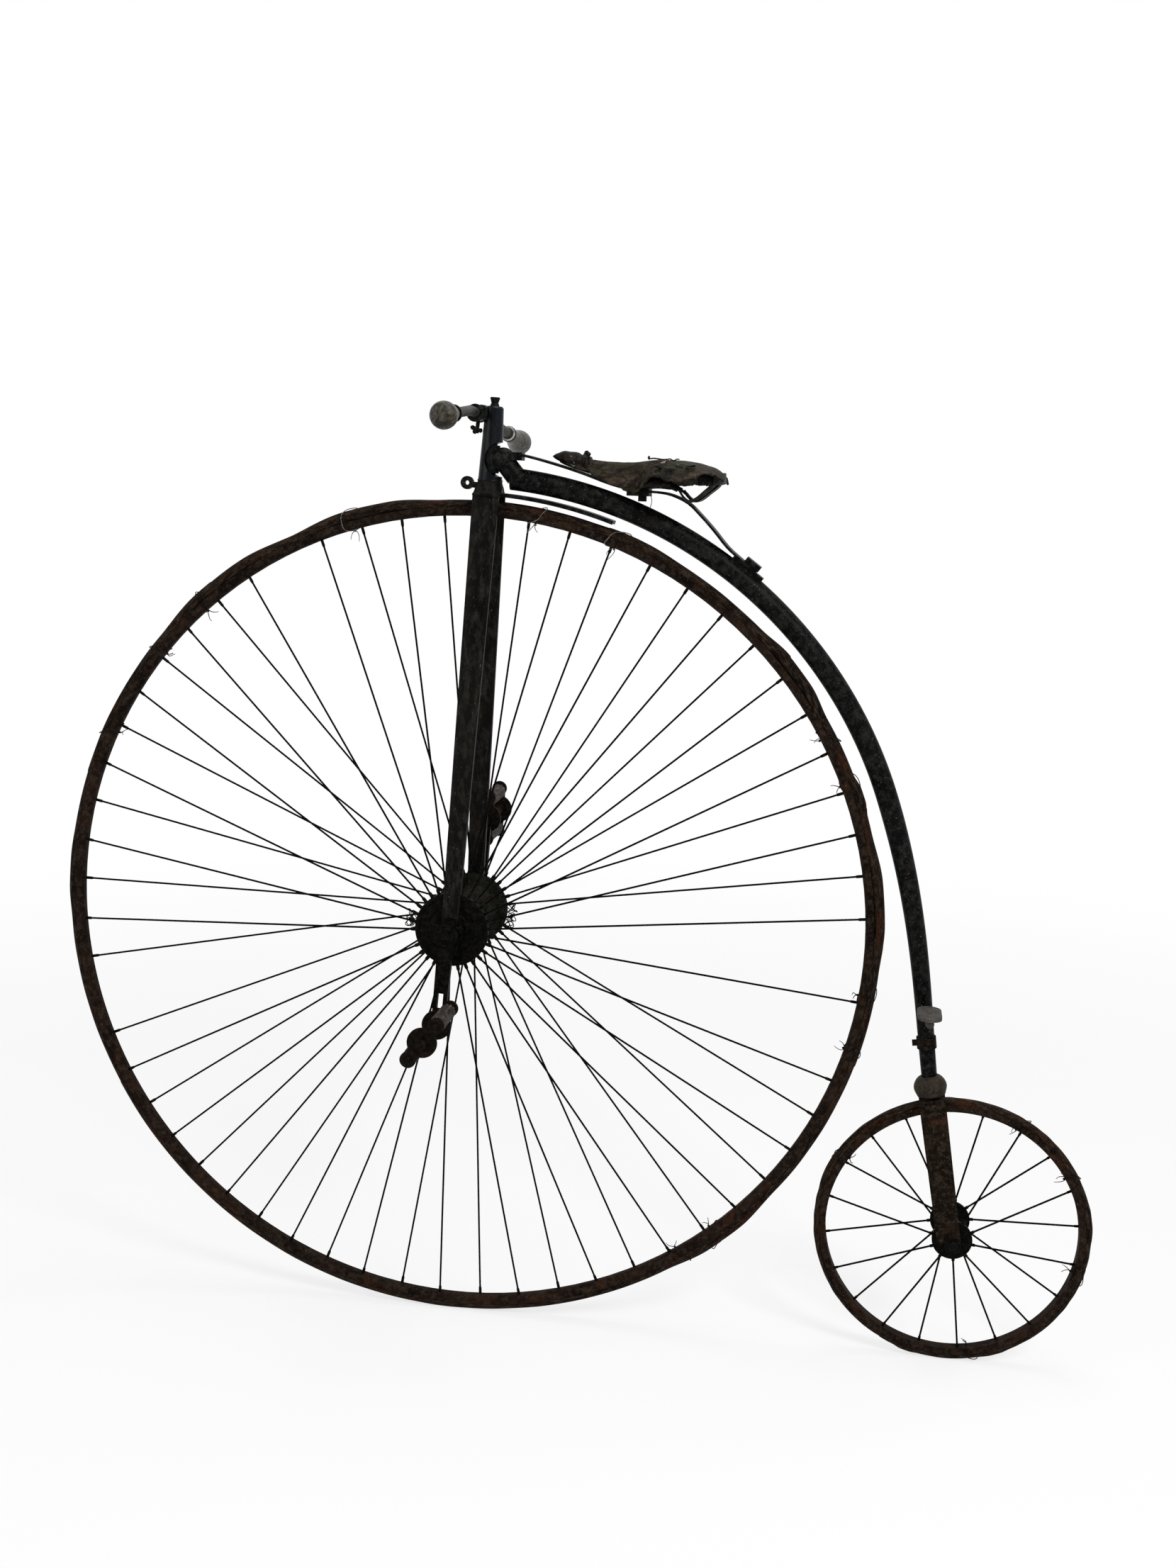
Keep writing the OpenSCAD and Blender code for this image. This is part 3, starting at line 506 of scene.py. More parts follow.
def tyreSurface(spec, radius):
    # a ring whose section's middle rises over each lift, whose thickness wanders a little,
    # and which is stepped by a fraction of a millimetre at each lap
    seed = spec["seed"]
    angle = 360 * np.arange(spec["steps"]) / spec["steps"]
    lift = np.zeros_like(angle)
    for low, high, tall in spec["lifts"]:
        along = (angle - low) % 360
        wide = high - low
        slope = wear["slope"] * wide
        swell = easeStep(0, slope, along) * (1 - easeStep(wide - slope, wide, along))
        lift += tall * swell * (along < wide)
    past = (angle[:, None] >= np.sort(spec["laps"])[None]).sum(1)
    offset = wear["lapStep"] * np.sin(past * 2.4 + seed)
    around = np.radians(angle)
    squash = 1 + wear["squash"] * ringRipple(around, seed, 3)
    broad = 1 + wear["broad"] * ringRipple(around + 1.3, seed + 2, 4)
    a = turn * np.arange(spec["sides"]) / spec["sides"]
    flat = 1 - wear["flat"] * np.cos(2 * a)
    chips = wear["chip"] * ringRipple(around, seed + 5, 31)[:, None] * np.maximum(np.cos(a), 0)[None]
    out = spec["section"] * (np.cos(a) * flat)[None] * squash[:, None]
    wide = spec["section"] * np.sin(a)[None] * broad[:, None]
    rho = radius + (lift + offset)[:, None] + out + chips
    points = aroundWheel(rho, angle[:, None], wide)
    u = np.radians(np.append(angle, 360)) * radius / 1000
    v = spec["section"] * np.append(a, turn) / 1000
    grid = np.stack(np.meshgrid(u, v, indexing="ij"), -1)
    uv = np.stack([grid[:-1, :-1], grid[1:, :-1], grid[1:, 1:], grid[:-1, 1:]], -2).reshape(-1, 2)
    return points, uv, angle, lift


lifted = {}
for name, node, spec, place, half, body in (
        ("tall_tyre", "front_tyre", frontTyre, fromHub, hubHalf, "front_wheel"),
        ("small_tyre", "rear_tyre", rearTyre, fromRear, rearHalf, "rear_wheel")):
    points, uv, angle, lift = tyreSurface(spec, half[0] * 1000 - spec["section"])
    addPiece(name, shell(place(points), closeU=True), "tyreRubber", body, replaces=[node],
             uv=uv)
    lifted[body] = (angle, lift)
print("tyres made")

# backbone tube: millimetres, degrees, and radius by share of the length
backboneTube = {
    "circle": 695.5, "from": 85.05, "to": 20.0, "lean": 8.9, "fork": 238.0, "forkLean": 11.5,
    "lead": 0.41, "follow": 0.3, "rounds": 150, "tail": 90, "thick": [(0, 17.0), (0.66, 16.3), (1, 12.0)],
}


def backbonePath(spec):
    # an arc over the tall wheel, then a curve with four control points down to the rear fork's shoulder
    a = np.radians(np.linspace(spec["from"], spec["to"], spec["rounds"]))
    arc = spec["circle"] * np.stack([np.cos(a), np.sin(a)], -1)
    leanFork = math.radians(spec["forkLean"])
    rear = (rearHub - hub) * 1000
    end = np.array([rear[0] - spec["fork"] * math.sin(leanFork), rear[2] + spec["fork"] * math.cos(leanFork)])
    start, reach = arc[-1], np.linalg.norm(end - arc[-1])
    lead = start + spec["lead"] * reach * np.array([math.sin(a[-1]), -math.cos(a[-1])])
    lean = math.radians(spec["lean"])
    follow = end - spec["follow"] * reach * np.array([math.sin(lean), -math.cos(lean)])
    t = np.linspace(0, 1, spec["tail"])[1:, None]
    curve = (1 - t) ** 3 * start + 3 * (1 - t) ** 2 * t * lead + 3 * (1 - t) * t ** 2 * follow + t ** 3 * end
    flat = np.vstack([arc, curve[:-3]])
    return np.stack([flat[:, 0], np.zeros(len(flat)), flat[:, 1]], -1)


bonePath = backbonePath(backboneTube)
boneThick = np.interp(np.linspace(0, 1, len(bonePath)), *np.array(backboneTube["thick"]).T)
addPiece("backbone_tube", sweep(fromHub(bonePath), boneThick / 1000, sides=56, ref=(0, 1, 0)), "blackPaintWithPaintedGlints",
         "frame", replaces=["backbone"])
print("backbone made")

# pedals: millimetres; profiles are radius and distance along the pin
pedalTrim = {
    "radius": 12.5, "grooves": 11, "depth": 1.5, "rivetOut": 1.1, "innerRivet": 0.8, "innerNut": 0.9,
    "dome": [(0, 3.6), (2.4, 3.3), (4.2, 2.3), (5.2, 0.9), (5.4, -0.8), (0, -0.8)],
    "hexEnd": [(0, 6.2), (3.0, 6.0), (5.0, 5.2), (8.4, 5.0), (9.0, 4.2), (9.0, 0.2), (11.2, 0.1), (11.4, -1.0),
               (0, -1.0)],
}


def ribbedRoll(middle, half, spec):
    # a roll along the axle's direction: its radius dips in grooves that run its length, and its ends are eased
    a = turn * np.arange(132) / 132
    along = np.linspace(-1, 1, 34)
    groove = (0.5 - 0.5 * np.cos(a * spec["grooves"])) ** 3
    ease = 1 - 0.10 * np.abs(along) ** 14 - 0.02 * (1 - along ** 2)
    r = spec["radius"] * ease[:, None] - spec["depth"] * groove[None]
    points = np.stack([middle[0] + r * np.cos(a) / 1000,
                       np.broadcast_to(middle[1] + along[:, None] * half / 1000, r.shape),
                       middle[2] + r * np.sin(a) / 1000], -1)
    return shell(points)


for side, hand in (("left", -1), ("right", 1)):
    body = "pedal_" + side
    middle, half = middleOf(body + "_rubbers")
    lean = np.array([half[0] * 1000 - pedalTrim["radius"], 0, half[2] * 1000 - pedalTrim["radius"]]) / 1000
    rolls = [ribbedRoll(middle + k * lean, half[1] * 1000, pedalTrim) for k in (-1, 1)]
    addPiece(body + "_rolls", rolls, "pedalRubber", body, replaces=[body + "_rubbers"])
    plates, plateHalf = middleOf(body + "_plates")
    rivets = []
    for way, size in ((hand, 1), (-hand, pedalTrim["innerRivet"])):
        for k in (-pedalTrim["rivetOut"], pedalTrim["rivetOut"]):
            at = (middle[0] + k * lean[0], plates[1] + way * plateHalf[1], middle[2] + k * lean[2])
            rivets.append(turned(pedalTrim["dome"], at, (0, way, 0), 24, size))
    addPiece(body + "_rivets", rivets, "plateIron", body)
    pin, pinHalf = middleOf("pedal_pin_" + side)
    nuts = []
    for way, size, sunk in ((hand, 1, 0.0012), (-hand, pedalTrim["innerNut"], 0.0008)):
        at = (pin[0], pin[1] + way * (pinHalf[1] - sunk), pin[2])
        nuts.append(turned(pedalTrim["hexEnd"], at, (0, way, 0), 6, size))
    addPiece(body + "_nuts", nuts, "plateIron", "front_wheel", sharp=True)
print("pedals made")

# tall wheel's hub: millimetres; the profiles are radius and distance out from the flange or the crank
hubTrim = {
    "depth": 74.6, "flangeHalf": 3.5, "ribs": 30, "ribFrom": 24, "ribTo": 55, "ribTall": 1.9, "ribWide": 1.5,
    "ribSunk": 3.6, "ribFade": [0.35, 0.8, 1, 1, 1, 0.9, 0.5],
    "ring": [(22.5, -1), (22.5, 2.6), (27, 2.6), (28, 1.4), (37, 1.3), (37.6, 2.2), (42, 2.2), (42.6, 1.0),
             (50.5, 0.9), (51.2, 1.9), (56.4, 1.9), (57.4, 0.9), (57.6, -1)],
    "cap": [(0, 8.2), (3.5, 8.0), (6.4, 7.0), (7.2, 5.6), (7.6, 4.2), (12.6, 4.0), (13.4, 3.2), (13.6, 1.6),
            (17.6, 1.4), (18.2, 0.6), (18.2, -1), (0, -1)],
    "cotterTilt": 4, "cotterUp": 0.0105, "cotterNut": [(0, 0), (6.2, 0), (6.2, 4.2), (0, 4.2)],
}


def radialRibs(spec, depth, turnBy):
    # raised bars that run out from the axle, half sunk in the flange
    fade = np.array(spec["ribFade"]) / 1000
    r = np.linspace(spec["ribFrom"], spec["ribTo"], len(fade))
    paths = [fromHub(aroundWheel(r, turnBy + 360 * k / spec["ribs"], depth)) for k in range(spec["ribs"])]
    return [sweep(path, spec["ribWide"] * fade, spec["ribTall"] * fade, sides=8, ref=(0, 1, 0))
            for path in paths]


def flangeRing(profile, outer, hand):
    # a profile turned about the axle, closed on itself
    a = turn * np.arange(96) / 96
    r, out = (np.array(profile)[:, k, None] for k in (0, 1))
    grid = np.stack([r * np.cos(a), np.broadcast_to(outer + hand * out, (len(r), len(a))), r * np.sin(a)], -1)
    return shell(fromHub(np.concatenate([grid, grid[:1]])), cap=False)


ribs, rings, caps = [], [], []
for hand in (-1, 1):
    # the bars stand on each flange's inner face, and the rings on its outer one
    ribs += radialRibs(hubTrim, hand * (hubTrim["depth"] - hubTrim["ribSunk"]), 4 if hand > 0 else 2)
    rings.append(flangeRing(hubTrim["ring"], hand * (hubTrim["depth"] + hubTrim["flangeHalf"]), hand))
for node, hand in (("crank_left", -1), ("crank_right", 1)):
    crank, crankHalf = middleOf(node)
    caps.append(turned(hubTrim["cap"], (hub[0], crank[1] + hand * crankHalf[1], hub[2]), (0, hand, 0), 48))
    # a cotter through the boss, with its nut
    up = hand * math.radians(hubTrim["cotterTilt"])
    across = np.array([math.cos(up), 0, math.sin(up)])
    raised = np.array([-math.sin(up), 0, math.cos(up)]) * hubTrim["cotterUp"]
    middle = np.array([hub[0], crank[1], hub[2]]) + raised
    path = middle + np.linspace(-0.023, 0.025, 9)[:, None] * across
    caps.append(sweep(path, np.linspace(0.0042, 0.0034, 9), sides=14, ref=(0, 1, 0)))
    caps.append(turned(hubTrim["cotterNut"], middle + 0.0185 * across, across, 6))
addPiece("hub_ribs", ribs, "flangeIron", "front_wheel")
addPiece("hub_rings", rings, "darkIron", "front_wheel", sharp=True)
addPiece("crank_caps", caps, "darkIron", "front_wheel", sharp=True)

# spokes: each side's hand, first angle and lost wires; radius and depth at hub and rim; and for each
# sleeve the shares of the way that it covers and its radius
tallSpokes = {
    "count": 30, "sides": [(-1, 8, [164]), (1, 2, [2, 14, 242])], "hub": (54.0, 74.6), "rim": (636.7, 3.0),
    "sleeves": [(0.003, 0.022, 2.9), (0.978, 0.9995, 2.4)],
}
smallSpokes = {
    "count": 10, "sides": [(-1, 11.3, []), (1, 29.1, [])], "hub": (28.0, 39.0), "rim": (196.65, 2.0),
    "sleeves": [(0.01, 0.05, 2.6), (0.95, 0.995, 2.2)],
}


def spokeSleeves(spec, place):
    # a short tapered sleeve over each stretch of every wire that is left
    parts = []
    for hand, first, lost in spec["sides"]:
        for low, high, thick in spec["sleeves"]:
            share = low + (high - low) * np.array([0, 0.15, 0.8, 1])
            r, depth = (a + (b - a) * share for a, b in zip(spec["hub"], spec["rim"]))
            size = thick * np.array([0.75, 1, 1, 0.7]) / 1000
            angles = [first + 360 * k / spec["count"] for k in range(spec["count"])]
            parts += [sweep(place(aroundWheel(r, angle, hand * depth)), size, sides=8, ref=(0, 1, 0))
                      for angle in angles if round(angle, 1) not in lost]
    return parts


addPiece("tall_spoke_sleeves", spokeSleeves(tallSpokes, fromHub), "darkIron", "front_wheel")
addPiece("small_spoke_sleeves", spokeSleeves(smallSpokes, fromRear), "darkIron", "rear_wheel")
print("hub and spoke ends made")

# wire and string tied round the rims: each tie is an angle, a skew, the length of its loose ends, and a seed
paleTies = [(253, 1.0, 18, 0.2), (279, 1.0, 14, 2.1), (290.5, 1.1, 17, 0.7)]
rustyTies = [(228, 0.8, 16, 3.0), (219, 0.8, 12, 4.4), (205, 1.0, 13, 5.0), (330, 1.0, 10, 1.5),
             (337, 1.0, 12, 2.9), (7, 1.0, 10, 3.7), (15, 1.0, 14, 0.4), (49, 1.0, 12, 2.2), (55, 0.9, 15, 5.5)]
smallTies = [(329, 0.9, 14, 0.9), (15, 1.0, 15, 2.6), (79, 1.0, 13, 4.4), (212, 0.9, 9, 3.3),
             (297, 0.9, 8, 1.2)]
# what a tie goes round: inner and outer radius, and half its width
tallRound = {"inner": 633.6, "outer": 661.2, "half": 12.8}
smallRound = {"inner": 193.95, "outer": 216.35, "half": 10.2}
tieKnot = [(0, -1.6), (1.5, -1.2), (2.0, 0), (1.4, 1.2), (0, 1.6)]


def tieRound(tie, around, place, body):
    # a loop round rim and tyre in the plane of the axle, skewed a little, and two loose ends inside
    angle, skew, tail, seed = tie
    inner, half = around["inner"], around["half"]
    outer = around["outer"] + float(np.interp(angle, *lifted[body]))
    a = turn * np.arange(40) / 40
    squash = 0.62
    r = (inner + outer) / 2 + (outer - inner) / 2 * np.sign(np.cos(a)) * np.abs(np.cos(a)) ** squash
    y = half * np.sign(np.sin(a)) * np.abs(np.sin(a)) ** squash
    along = angle + skew * 0.45 * np.sin(a + seed) * 180 / (math.pi * 30) * 10 / (outer / 100)
    parts = [sweep(place(aroundWheel(r, along, y)), 0.0007, sides=7, closed=True)]
    t = np.linspace(0, 1, 14)
    for k in (0, 1):
        far = tail * (1 - 0.35 * k)
        rr = inner - 0.4 - far * t + 2.5 * np.sin(3.1 * t + seed)
        yy = (k - 0.5) * 5 - 5 * t * np.sin(seed + k)
        aa = angle + np.degrees((6 * np.sin(2.3 * t + seed + 2 * k) - 6 * math.sin(seed + 2 * k)) / outer)
        parts.append(sweep(place(aroundWheel(rr, aa, yy)), np.linspace(0.0008, 0.00045, 14), sides=6))
    at = place(aroundWheel(np.array(inner - 1.0), angle, np.array(0.0)))
    return parts + [turned(tieKnot, at, (0.3, 0.9, 0.2), 10)]


for name, ties, around, place, body, finish in (
        ("tall_rim_strings", paleTies, tallRound, fromHub, "front_wheel", "wire"),
        ("tall_rim_ties", rustyTies, tallRound, fromHub, "front_wheel", "darkWire"),
        ("small_rim_ties", smallTies, smallRound, fromRear, "rear_wheel", "darkWire")):
    addPiece(name, sum((tieRound(tie, around, place, body) for tie in ties), []), finish, body)

# wire wound loosely round a spoke where it leaves the flange: angle, depth and seed
hubTangles = [(186, -74, 0.4), (196, -74, 1.9), (-4, 73, 2.7), (9, 73, 4.2), (20, 73, 5.6)]
tangles = []
t = np.linspace(0, 1, 70)
for angle, depth, seed in hubTangles:
    r = 62 + 9 * t + 4.5 * np.sin(5 * turn * t + seed)
    y = depth + (-1 if depth > 0 else 1) * 1.2 * t + 4.0 * np.cos(4 * turn * t + seed)
    a = angle + np.degrees((5.5 * np.sin(3 * turn * t + seed)) / 60)
    tangles.append(sweep(fromHub(aroundWheel(r, a, y)), 0.0008, sides=6, ref=(0.1, 0.95, 0.3)))
addPiece("hub_wire_tangles", tangles, "darkWire", "front_wheel")
print("ties made")

# head, bar and grips: millimetres; the profiles are radius and distance along
headTrim = {
    "barUp": 789.0, "barFore": 26.0, "tilt": 2.2, "bend": 52.0, "sweepBack": 15.0, "reach": 240.0, "drop": 26.0,
    "grip": 96.0, "seamUp": 690, "lugOut": 19.2,
    "paleRing": [(7.4, 0), (11.6, 0), (12.0, 0.5), (12.0, 2.4), (7.4, 2.6)],
    "darkRing": [(7.4, 2.4), (12.4, 2.5), (12.9, 3.4), (12.9, 7.6), (12.3, 8.6), (9.0, 9.0)],
    "seam": [(17.6, -1.3), (19.1, -1.3), (19.5, -0.7), (19.5, 0.5), (19.0, 1.2), (17.6, 1.2)],
    "lugRing": [(7.6, 0.6), (10.4, 0.6), (13.0, 0), (13.6, -1.4), (13.4, -4.2), (11.6, -5.2), (7.6, -5.2)],
    "lugBolt": [(0, 2.8), (3.4, 2.7), (4.2, 2.0), (4.4, 0), (4.4, -3), (0, -3)],
}


def alongGrip(hand, distances):
    # millimetres out along one half of the bar from its bend
    d = np.array([headTrim["sweepBack"], hand * headTrim["reach"], -headTrim["drop"]])
    d = d / np.linalg.norm(d)
    p = np.array([0, hand * headTrim["bend"], 0]) + np.asarray(distances, float)[..., None] * d
    tilt = -math.radians(headTrim["tilt"])
    y = p[..., 1] * math.cos(tilt) - p[..., 2] * math.sin(tilt)
    z = p[..., 1] * math.sin(tilt) + p[..., 2] * math.cos(tilt)
    return onSteering(np.stack([p[..., 0] - headTrim["barFore"], y, z + headTrim["barUp"]], -1))


barLong = math.sqrt(headTrim["sweepBack"] ** 2 + headTrim["reach"] ** 2 + headTrim["drop"] ** 2)
gripFrom = barLong - headTrim["grip"]
for side, hand in (("left", -1), ("right", 1)):
    start = alongGrip(hand, gripFrom)
    axis = alongGrip(hand, gripFrom + 10) - start
    addPiece("grip_%s_ferrule" % side, turned(headTrim["paleRing"], start, axis, 48), "paleFerrule",
             "steering", sharp=True)
    addPiece("grip_%s_collar" % side, turned(headTrim["darkRing"], start, axis, 48), "blackPaintWithPaintedGlints",
             "steering", sharp=True)

up = onSteering((0, 0, 1)) - onSteering((0, 0, 0))
seam = turned(headTrim["seam"], onSteering((0, 0, headTrim["seamUp"])), up, 80)
# the thumb screw: a stem, and three wings that swell towards their tips
thumb = [sweep(onSteering([(-24, 0, 781), (-24.5, 0, 774), (-25, 0, 766), (-25.5, 0, 759)]), 0.0031, sides=14)]
wingSide = 0.001 * np.array([2.2, 2.3, 2.5, 2.9, 3.3, 3.6, 3.5, 2.7, 1.2])
wingThick = 0.001 * np.array([1.6, 1.6, 1.7, 1.9, 2.1, 2.2, 2.1, 1.7, 0.8])
t = np.linspace(0, 1, 9)[:, None]
for tipX, tipZ, seed in ((-35, 768.5, 0), (-31, 759, 1), (-17, 763, 2)):
    path = (1 - t) * np.array([-25, 0, 764.5]) + t * np.array([tipX, -3 + 2.5 * seed, tipZ])
    thumb.append(sweep(onSteering(path), wingSide, wingThick, sides=12, ref=(0, 1, 0)))
lugRings = []
for hand in (-1, 1):
    at = onSteering((-headTrim["barFore"], headTrim["lugOut"] * hand, headTrim["barUp"]))
    lugRings.append(turned(headTrim["lugRing"], at, (0, hand, 0), 40))
    for x, z, lean in ((-36, 797, -0.45), (-18, 799, 0.1)):
        lugRings.append(turned(headTrim["lugBolt"], onSteering((x, hand * 8, z)), (lean, 0.15 * hand, 1), 6))
addPiece("head_seam", seam, "headPaint", "steering", sharp=True)
addPiece("thumb_screw", thumb, "blackPaintWithPaintedGlints", "steering")
addPiece("lug_rings", lugRings, "blackPaintWithPaintedGlints", "steering", sharp=True)
print("head made")

# saddle: millimetres from the tall axle, each list giving a value by its place along the hide
saddle = {
    "from": 146, "to": 388, "thick": 2.8,
    "ridge": [(146, 731.5), (180, 726.5), (213, 723.5), (244, 723.8), (285, 728.6), (330, 728), (358, 723),
              (377, 716), (388, 706)],
    "halfWidth": [(146, 15), (180, 20), (213, 25), (244, 30), (262, 40), (280, 66), (300, 85), (320, 91),
                  (345, 90), (365, 80), (380, 64), (388, 50)],
    "drop": [(146, 14), (180, 20), (199, 27.5), (224, 36.5), (248, 45), (258, 44), (270, 31), (287, 25.5),
             (310, 32), (330, 30), (350, 20), (373, 9), (388, 5)],
}


def leatherSheet(spec):
    # across each station a half dome: near the nose a quarter ellipse that ends upright, and at the
    # back a flat brow that droops; the free edge is torn by a wave, and the hide is creased by others
    x = np.linspace(spec["from"], spec["to"], 170)
    t = np.linspace(0, 1, 34)
    bend = t * math.pi / 2
    rear = easeStep(244, 292, x)[:, None]
    ridge = through(spec["ridge"], x)[:, None]
    wide = through(spec["halfWidth"], x)[:, None]
    halves = []
    for hand in (-1, 1):
        torn = 2.2 * ripple(x / 9, 3 + hand) * easeStep(150, 200, x) + 1.2 * ripple(x / 3.1, 8 + hand)
        deep = through(spec["drop"], x)[:, None] + torn[:, None]
        if hand > 0:
            deep = deep + 4.5 * easeStep(270, 320, x)[:, None]
        y = wide * ((1 - rear) * np.sin(bend) ** 0.85 + rear * t ** 0.95)
        z = ridge - deep * ((1 - rear) * (1 - np.cos(bend)) + rear * t ** 1.9)
        crease = 0.9 * ripple(x[:, None] / 13 + 3.1 * t, 12 + hand)
        crease = crease + 0.5 * ripple(x[:, None] / 5 - 7 * t, 15 + hand)
        lip = easeStep(0.86, 1, t) * (1.4 + 1.6 * ripple(x / 7, 21 + hand))[:, None] * rear
        y = y + lip
        z = z + crease * (0.25 + 0.75 * t) + lip * 0.6
        halves.append(np.stack([np.broadcast_to(x[:, None], y.shape), hand * y, z], -1))
    near, far = halves
    return np.concatenate([near[:, ::-1], far[:, 1:]], 1)


def hubPath(x, y, z):
    # three coordinates in millimetres, any of them one number, as a path in metres
    return fromHub(np.stack(np.broadcast_arrays(x, y, z), -1))


def addHide(name, parts, finish="noseLeather"):
    # a piece of the saddle's leather
    return addPiece(name, parts, finish, "frame")


hideSheet = shell(fromHub(leatherSheet(saddle)), closeV=False, cap=False)
hide = addPiece("saddle_hide", hideSheet, "saddleLeather", "frame",
                replaces=["saddle_leather"], outward=False)
solid = hide.modifiers.new("thickness", "SOLIDIFY")
solid.thickness = saddle["thick"] / 1000
solid.offset = -1
if hide.data.polygons[3000].normal.z < 0:
    hide.data.flip_normals()

# the wrapped nose: its top, its underside and half its width by place along, and the cord tied round it
noseWrap = {
    "top": [(122.5, 729), (127, 732.5), (135, 735.8), (148, 737), (160, 735.6), (170, 732.5), (182, 729)],
    "low": [(122.5, 728.4), (127, 724.5), (135, 720.6), (148, 716.5), (160, 713.2), (170, 711), (182, 708)],
    "wide": [(122.5, 1.5), (127, 7), (135, 12), (148, 16), (160, 17), (170, 17.5), (182, 18.5)],
    "rounds": [(171, 0.3), (174, 1.2), (177.5, 2.5)],
    "knots": [((175, -4, 735), 4.0), ((179, -9, 733.5), 3.2), ((172.5, -16, 727), 3.0),
              ((177, -19.5, 716), 3.2)],
    "knot": [(0, -1), (0.62, -0.8), (0.96, -0.3), (1, 0.2), (0.7, 0.75), (0, 1)],
}
x = np.linspace(122.5, 182, 64)[:, None]
a = turn * np.arange(72) / 72
top, low, wide = (through(noseWrap[key], x) for key in ("top", "low", "wide"))
folds = 1 + 0.05 * np.sin(x / 3.3 + 3 * np.sin(a)) + 0.045 * ripple(x / 6 + 2 * np.cos(a), 31)
nose = hubPath(x, wide * np.cos(a) * folds, (top + low) / 2 + (top - low) / 2 * np.sin(a) * folds)
addHide("saddle_nose_wrap", shell(nose))
tie = []
a = turn * np.arange(60) / 60
for at, seed in noseWrap["rounds"]:
    top, low = (float(through(noseWrap[key], np.array(at))) for key in ("top", "low"))
    ring = hubPath(at + 1.4 * np.sin(a + seed) + 0.5 * np.sin(3 * a), 19.6 * np.cos(a),
                   (top + low) / 2 + ((top - low) / 2 + 1.6) * np.sin(a))
    tie.append(sweep(ring, 0.0016, sides=8, closed=True))
tie += [turned(noseWrap["knot"], fromHub(place), (0.6, 0.5, 0.4), 16, size)
        for place, size in noseWrap["knots"]]
t = np.linspace(0, 1, 16)
tie.append(sweep(hubPath(176 + 6 * t, -19 - 3 * np.sin(3 * t), 718 - 11 * t), 0.0014, sides=7))
addHide("saddle_nose_tie", tie)

# the flank's rolled lower edge behind the clamp, and a strap end left on the ridge
t = np.linspace(0, 1, 26)
swell = np.sin(math.pi * np.clip(t + 0.12, 0, 1)) ** 0.7
rollZ = 689 + 7 * np.sin(math.pi * t) - 4 * t
addHide("saddle_edge_rolls", [
    sweep(hubPath(256 + 62 * t, hand * (31 + 5 * np.sin(3 * t)), rollZ), (3.2 + 5 * swell) / 1000,
          (3.6 + 6.4 * swell) / 1000, sides=18, ref=(0, 1, 0)) for hand in (-1, 1)])
t = np.linspace(0, 1, 22)
addHide("saddle_strap_end", [
    sweep(hubPath(273 + 27 * t, -24 + 2 * np.sin(5 * t), 729.6 + 0.7 * np.sin(6 * t)), 0.0045, 0.0011, sides=12,
          power=0.5, ref=(0, 0, 1)),
    sweep(hubPath(273.5 - 1.5 * np.sin(3 * t), -24 - 3 * t, 729 + 3.6 * t), 0.0016, sides=8),
    sweep(hubPath(300 + 18 * t, -22 - 4 * t, 729.2 + 1.1 * np.sin(9 * t)), 0.002, 0.0009, sides=8,
          ref=(0, 0, 1)),
])

# the iron band under the brow at the back
t = np.linspace(-1, 1, 50)
band = hubPath(385.5 - 24 * t ** 2 - 10 * t ** 6, 66 * t, 704 - 3.5 * t ** 2)
addPiece("saddle_cantle", sweep(band, 0.0016, 0.0085, sides=16, power=0.45, ref=(0, 0, 1)),
         "blackPaintWithPaintedGlints", "frame")

# a flat strap that hangs from each back corner and returns under the hide: place, height and half
# its width by share of its length
strapLoop = {
    "along": [(0, 377), (0.2, 374), (0.42, 361), (0.62, 346), (0.74, 337), (0.86, 329), (1, 321)],
    "height": [(0, 708), (0.2, 696), (0.42, 683.5), (0.62, 671.5), (0.74, 669.2), (0.86, 674), (1, 685)],
    "half": [(0, 4.4), (0.15, 3.8), (0.6, 3.0), (0.75, 2.0), (1, 1.6)], "thick": 0.0015,
}
t = np.linspace(0, 1, 40)
strapHalf = np.interp(t, *np.array(strapLoop["half"]).T) / 1000
addHide("saddle_strap_loops", [
    sweep(hubPath(through(strapLoop["along"], t), hand * (10 * t - 50), through(strapLoop["height"], t)),
          strapHalf, strapLoop["thick"], sides=16, power=0.5, ref=(0.1, -1, 0.05))
    for hand in (1, -1)], "strapLeather")

# curled flakes where the hide has split: place, size and seed; the first is torn pale
hideFlakes = [(297, -52, 724, 4, 0.5), (309, -66, 717.5, 9, 1.7), (322, -52, 723, 6, 2.9),
              (291, -63, 716, 6, 4.4), (338, -58, 719, 7, 5.2), (283, -48, 722.5, 5, 6.1),
              (316, 58, 720, 8, 7.7), (301, 66, 715, 7, 8.3)]
flakes = []
u, v = np.meshgrid(np.linspace(-1, 1, 12), np.linspace(-1, 1, 9), indexing="ij")
for x, y, z, size, seed in hideFlakes:
    curl = 2.2 * (u * math.cos(seed) + v * math.sin(seed) + 0.9) ** 2 / 2.4
    edge = 1 + 0.25 * ripple(3 * u + seed, seed)
    py = y + 0.7 * size * v * edge
    sheet = np.stack([x + size * u * edge, py, z + curl * 0.9 - 0.176 * (np.abs(py) - abs(y))], -1)
    under = sheet - np.array([0, 0, 0.7])
    flakes.append(shell(fromHub(np.concatenate([sheet, under[:, ::-1]], 1))))
addHide("saddle_flakes", flakes[1:], "saddleLeather")
addHide("saddle_pale_fleck", flakes[0], "tornEdge")
t = np.linspace(0, 1, 20)
strand = sweep(hubPath(276 + 2.5 * np.sin(4 * t), -20 + 3 * t, 678 - 27 * t), 0.00055, sides=6)
addPiece("saddle_loose_strand", strand, "darkWire", "frame")
print("saddle made")

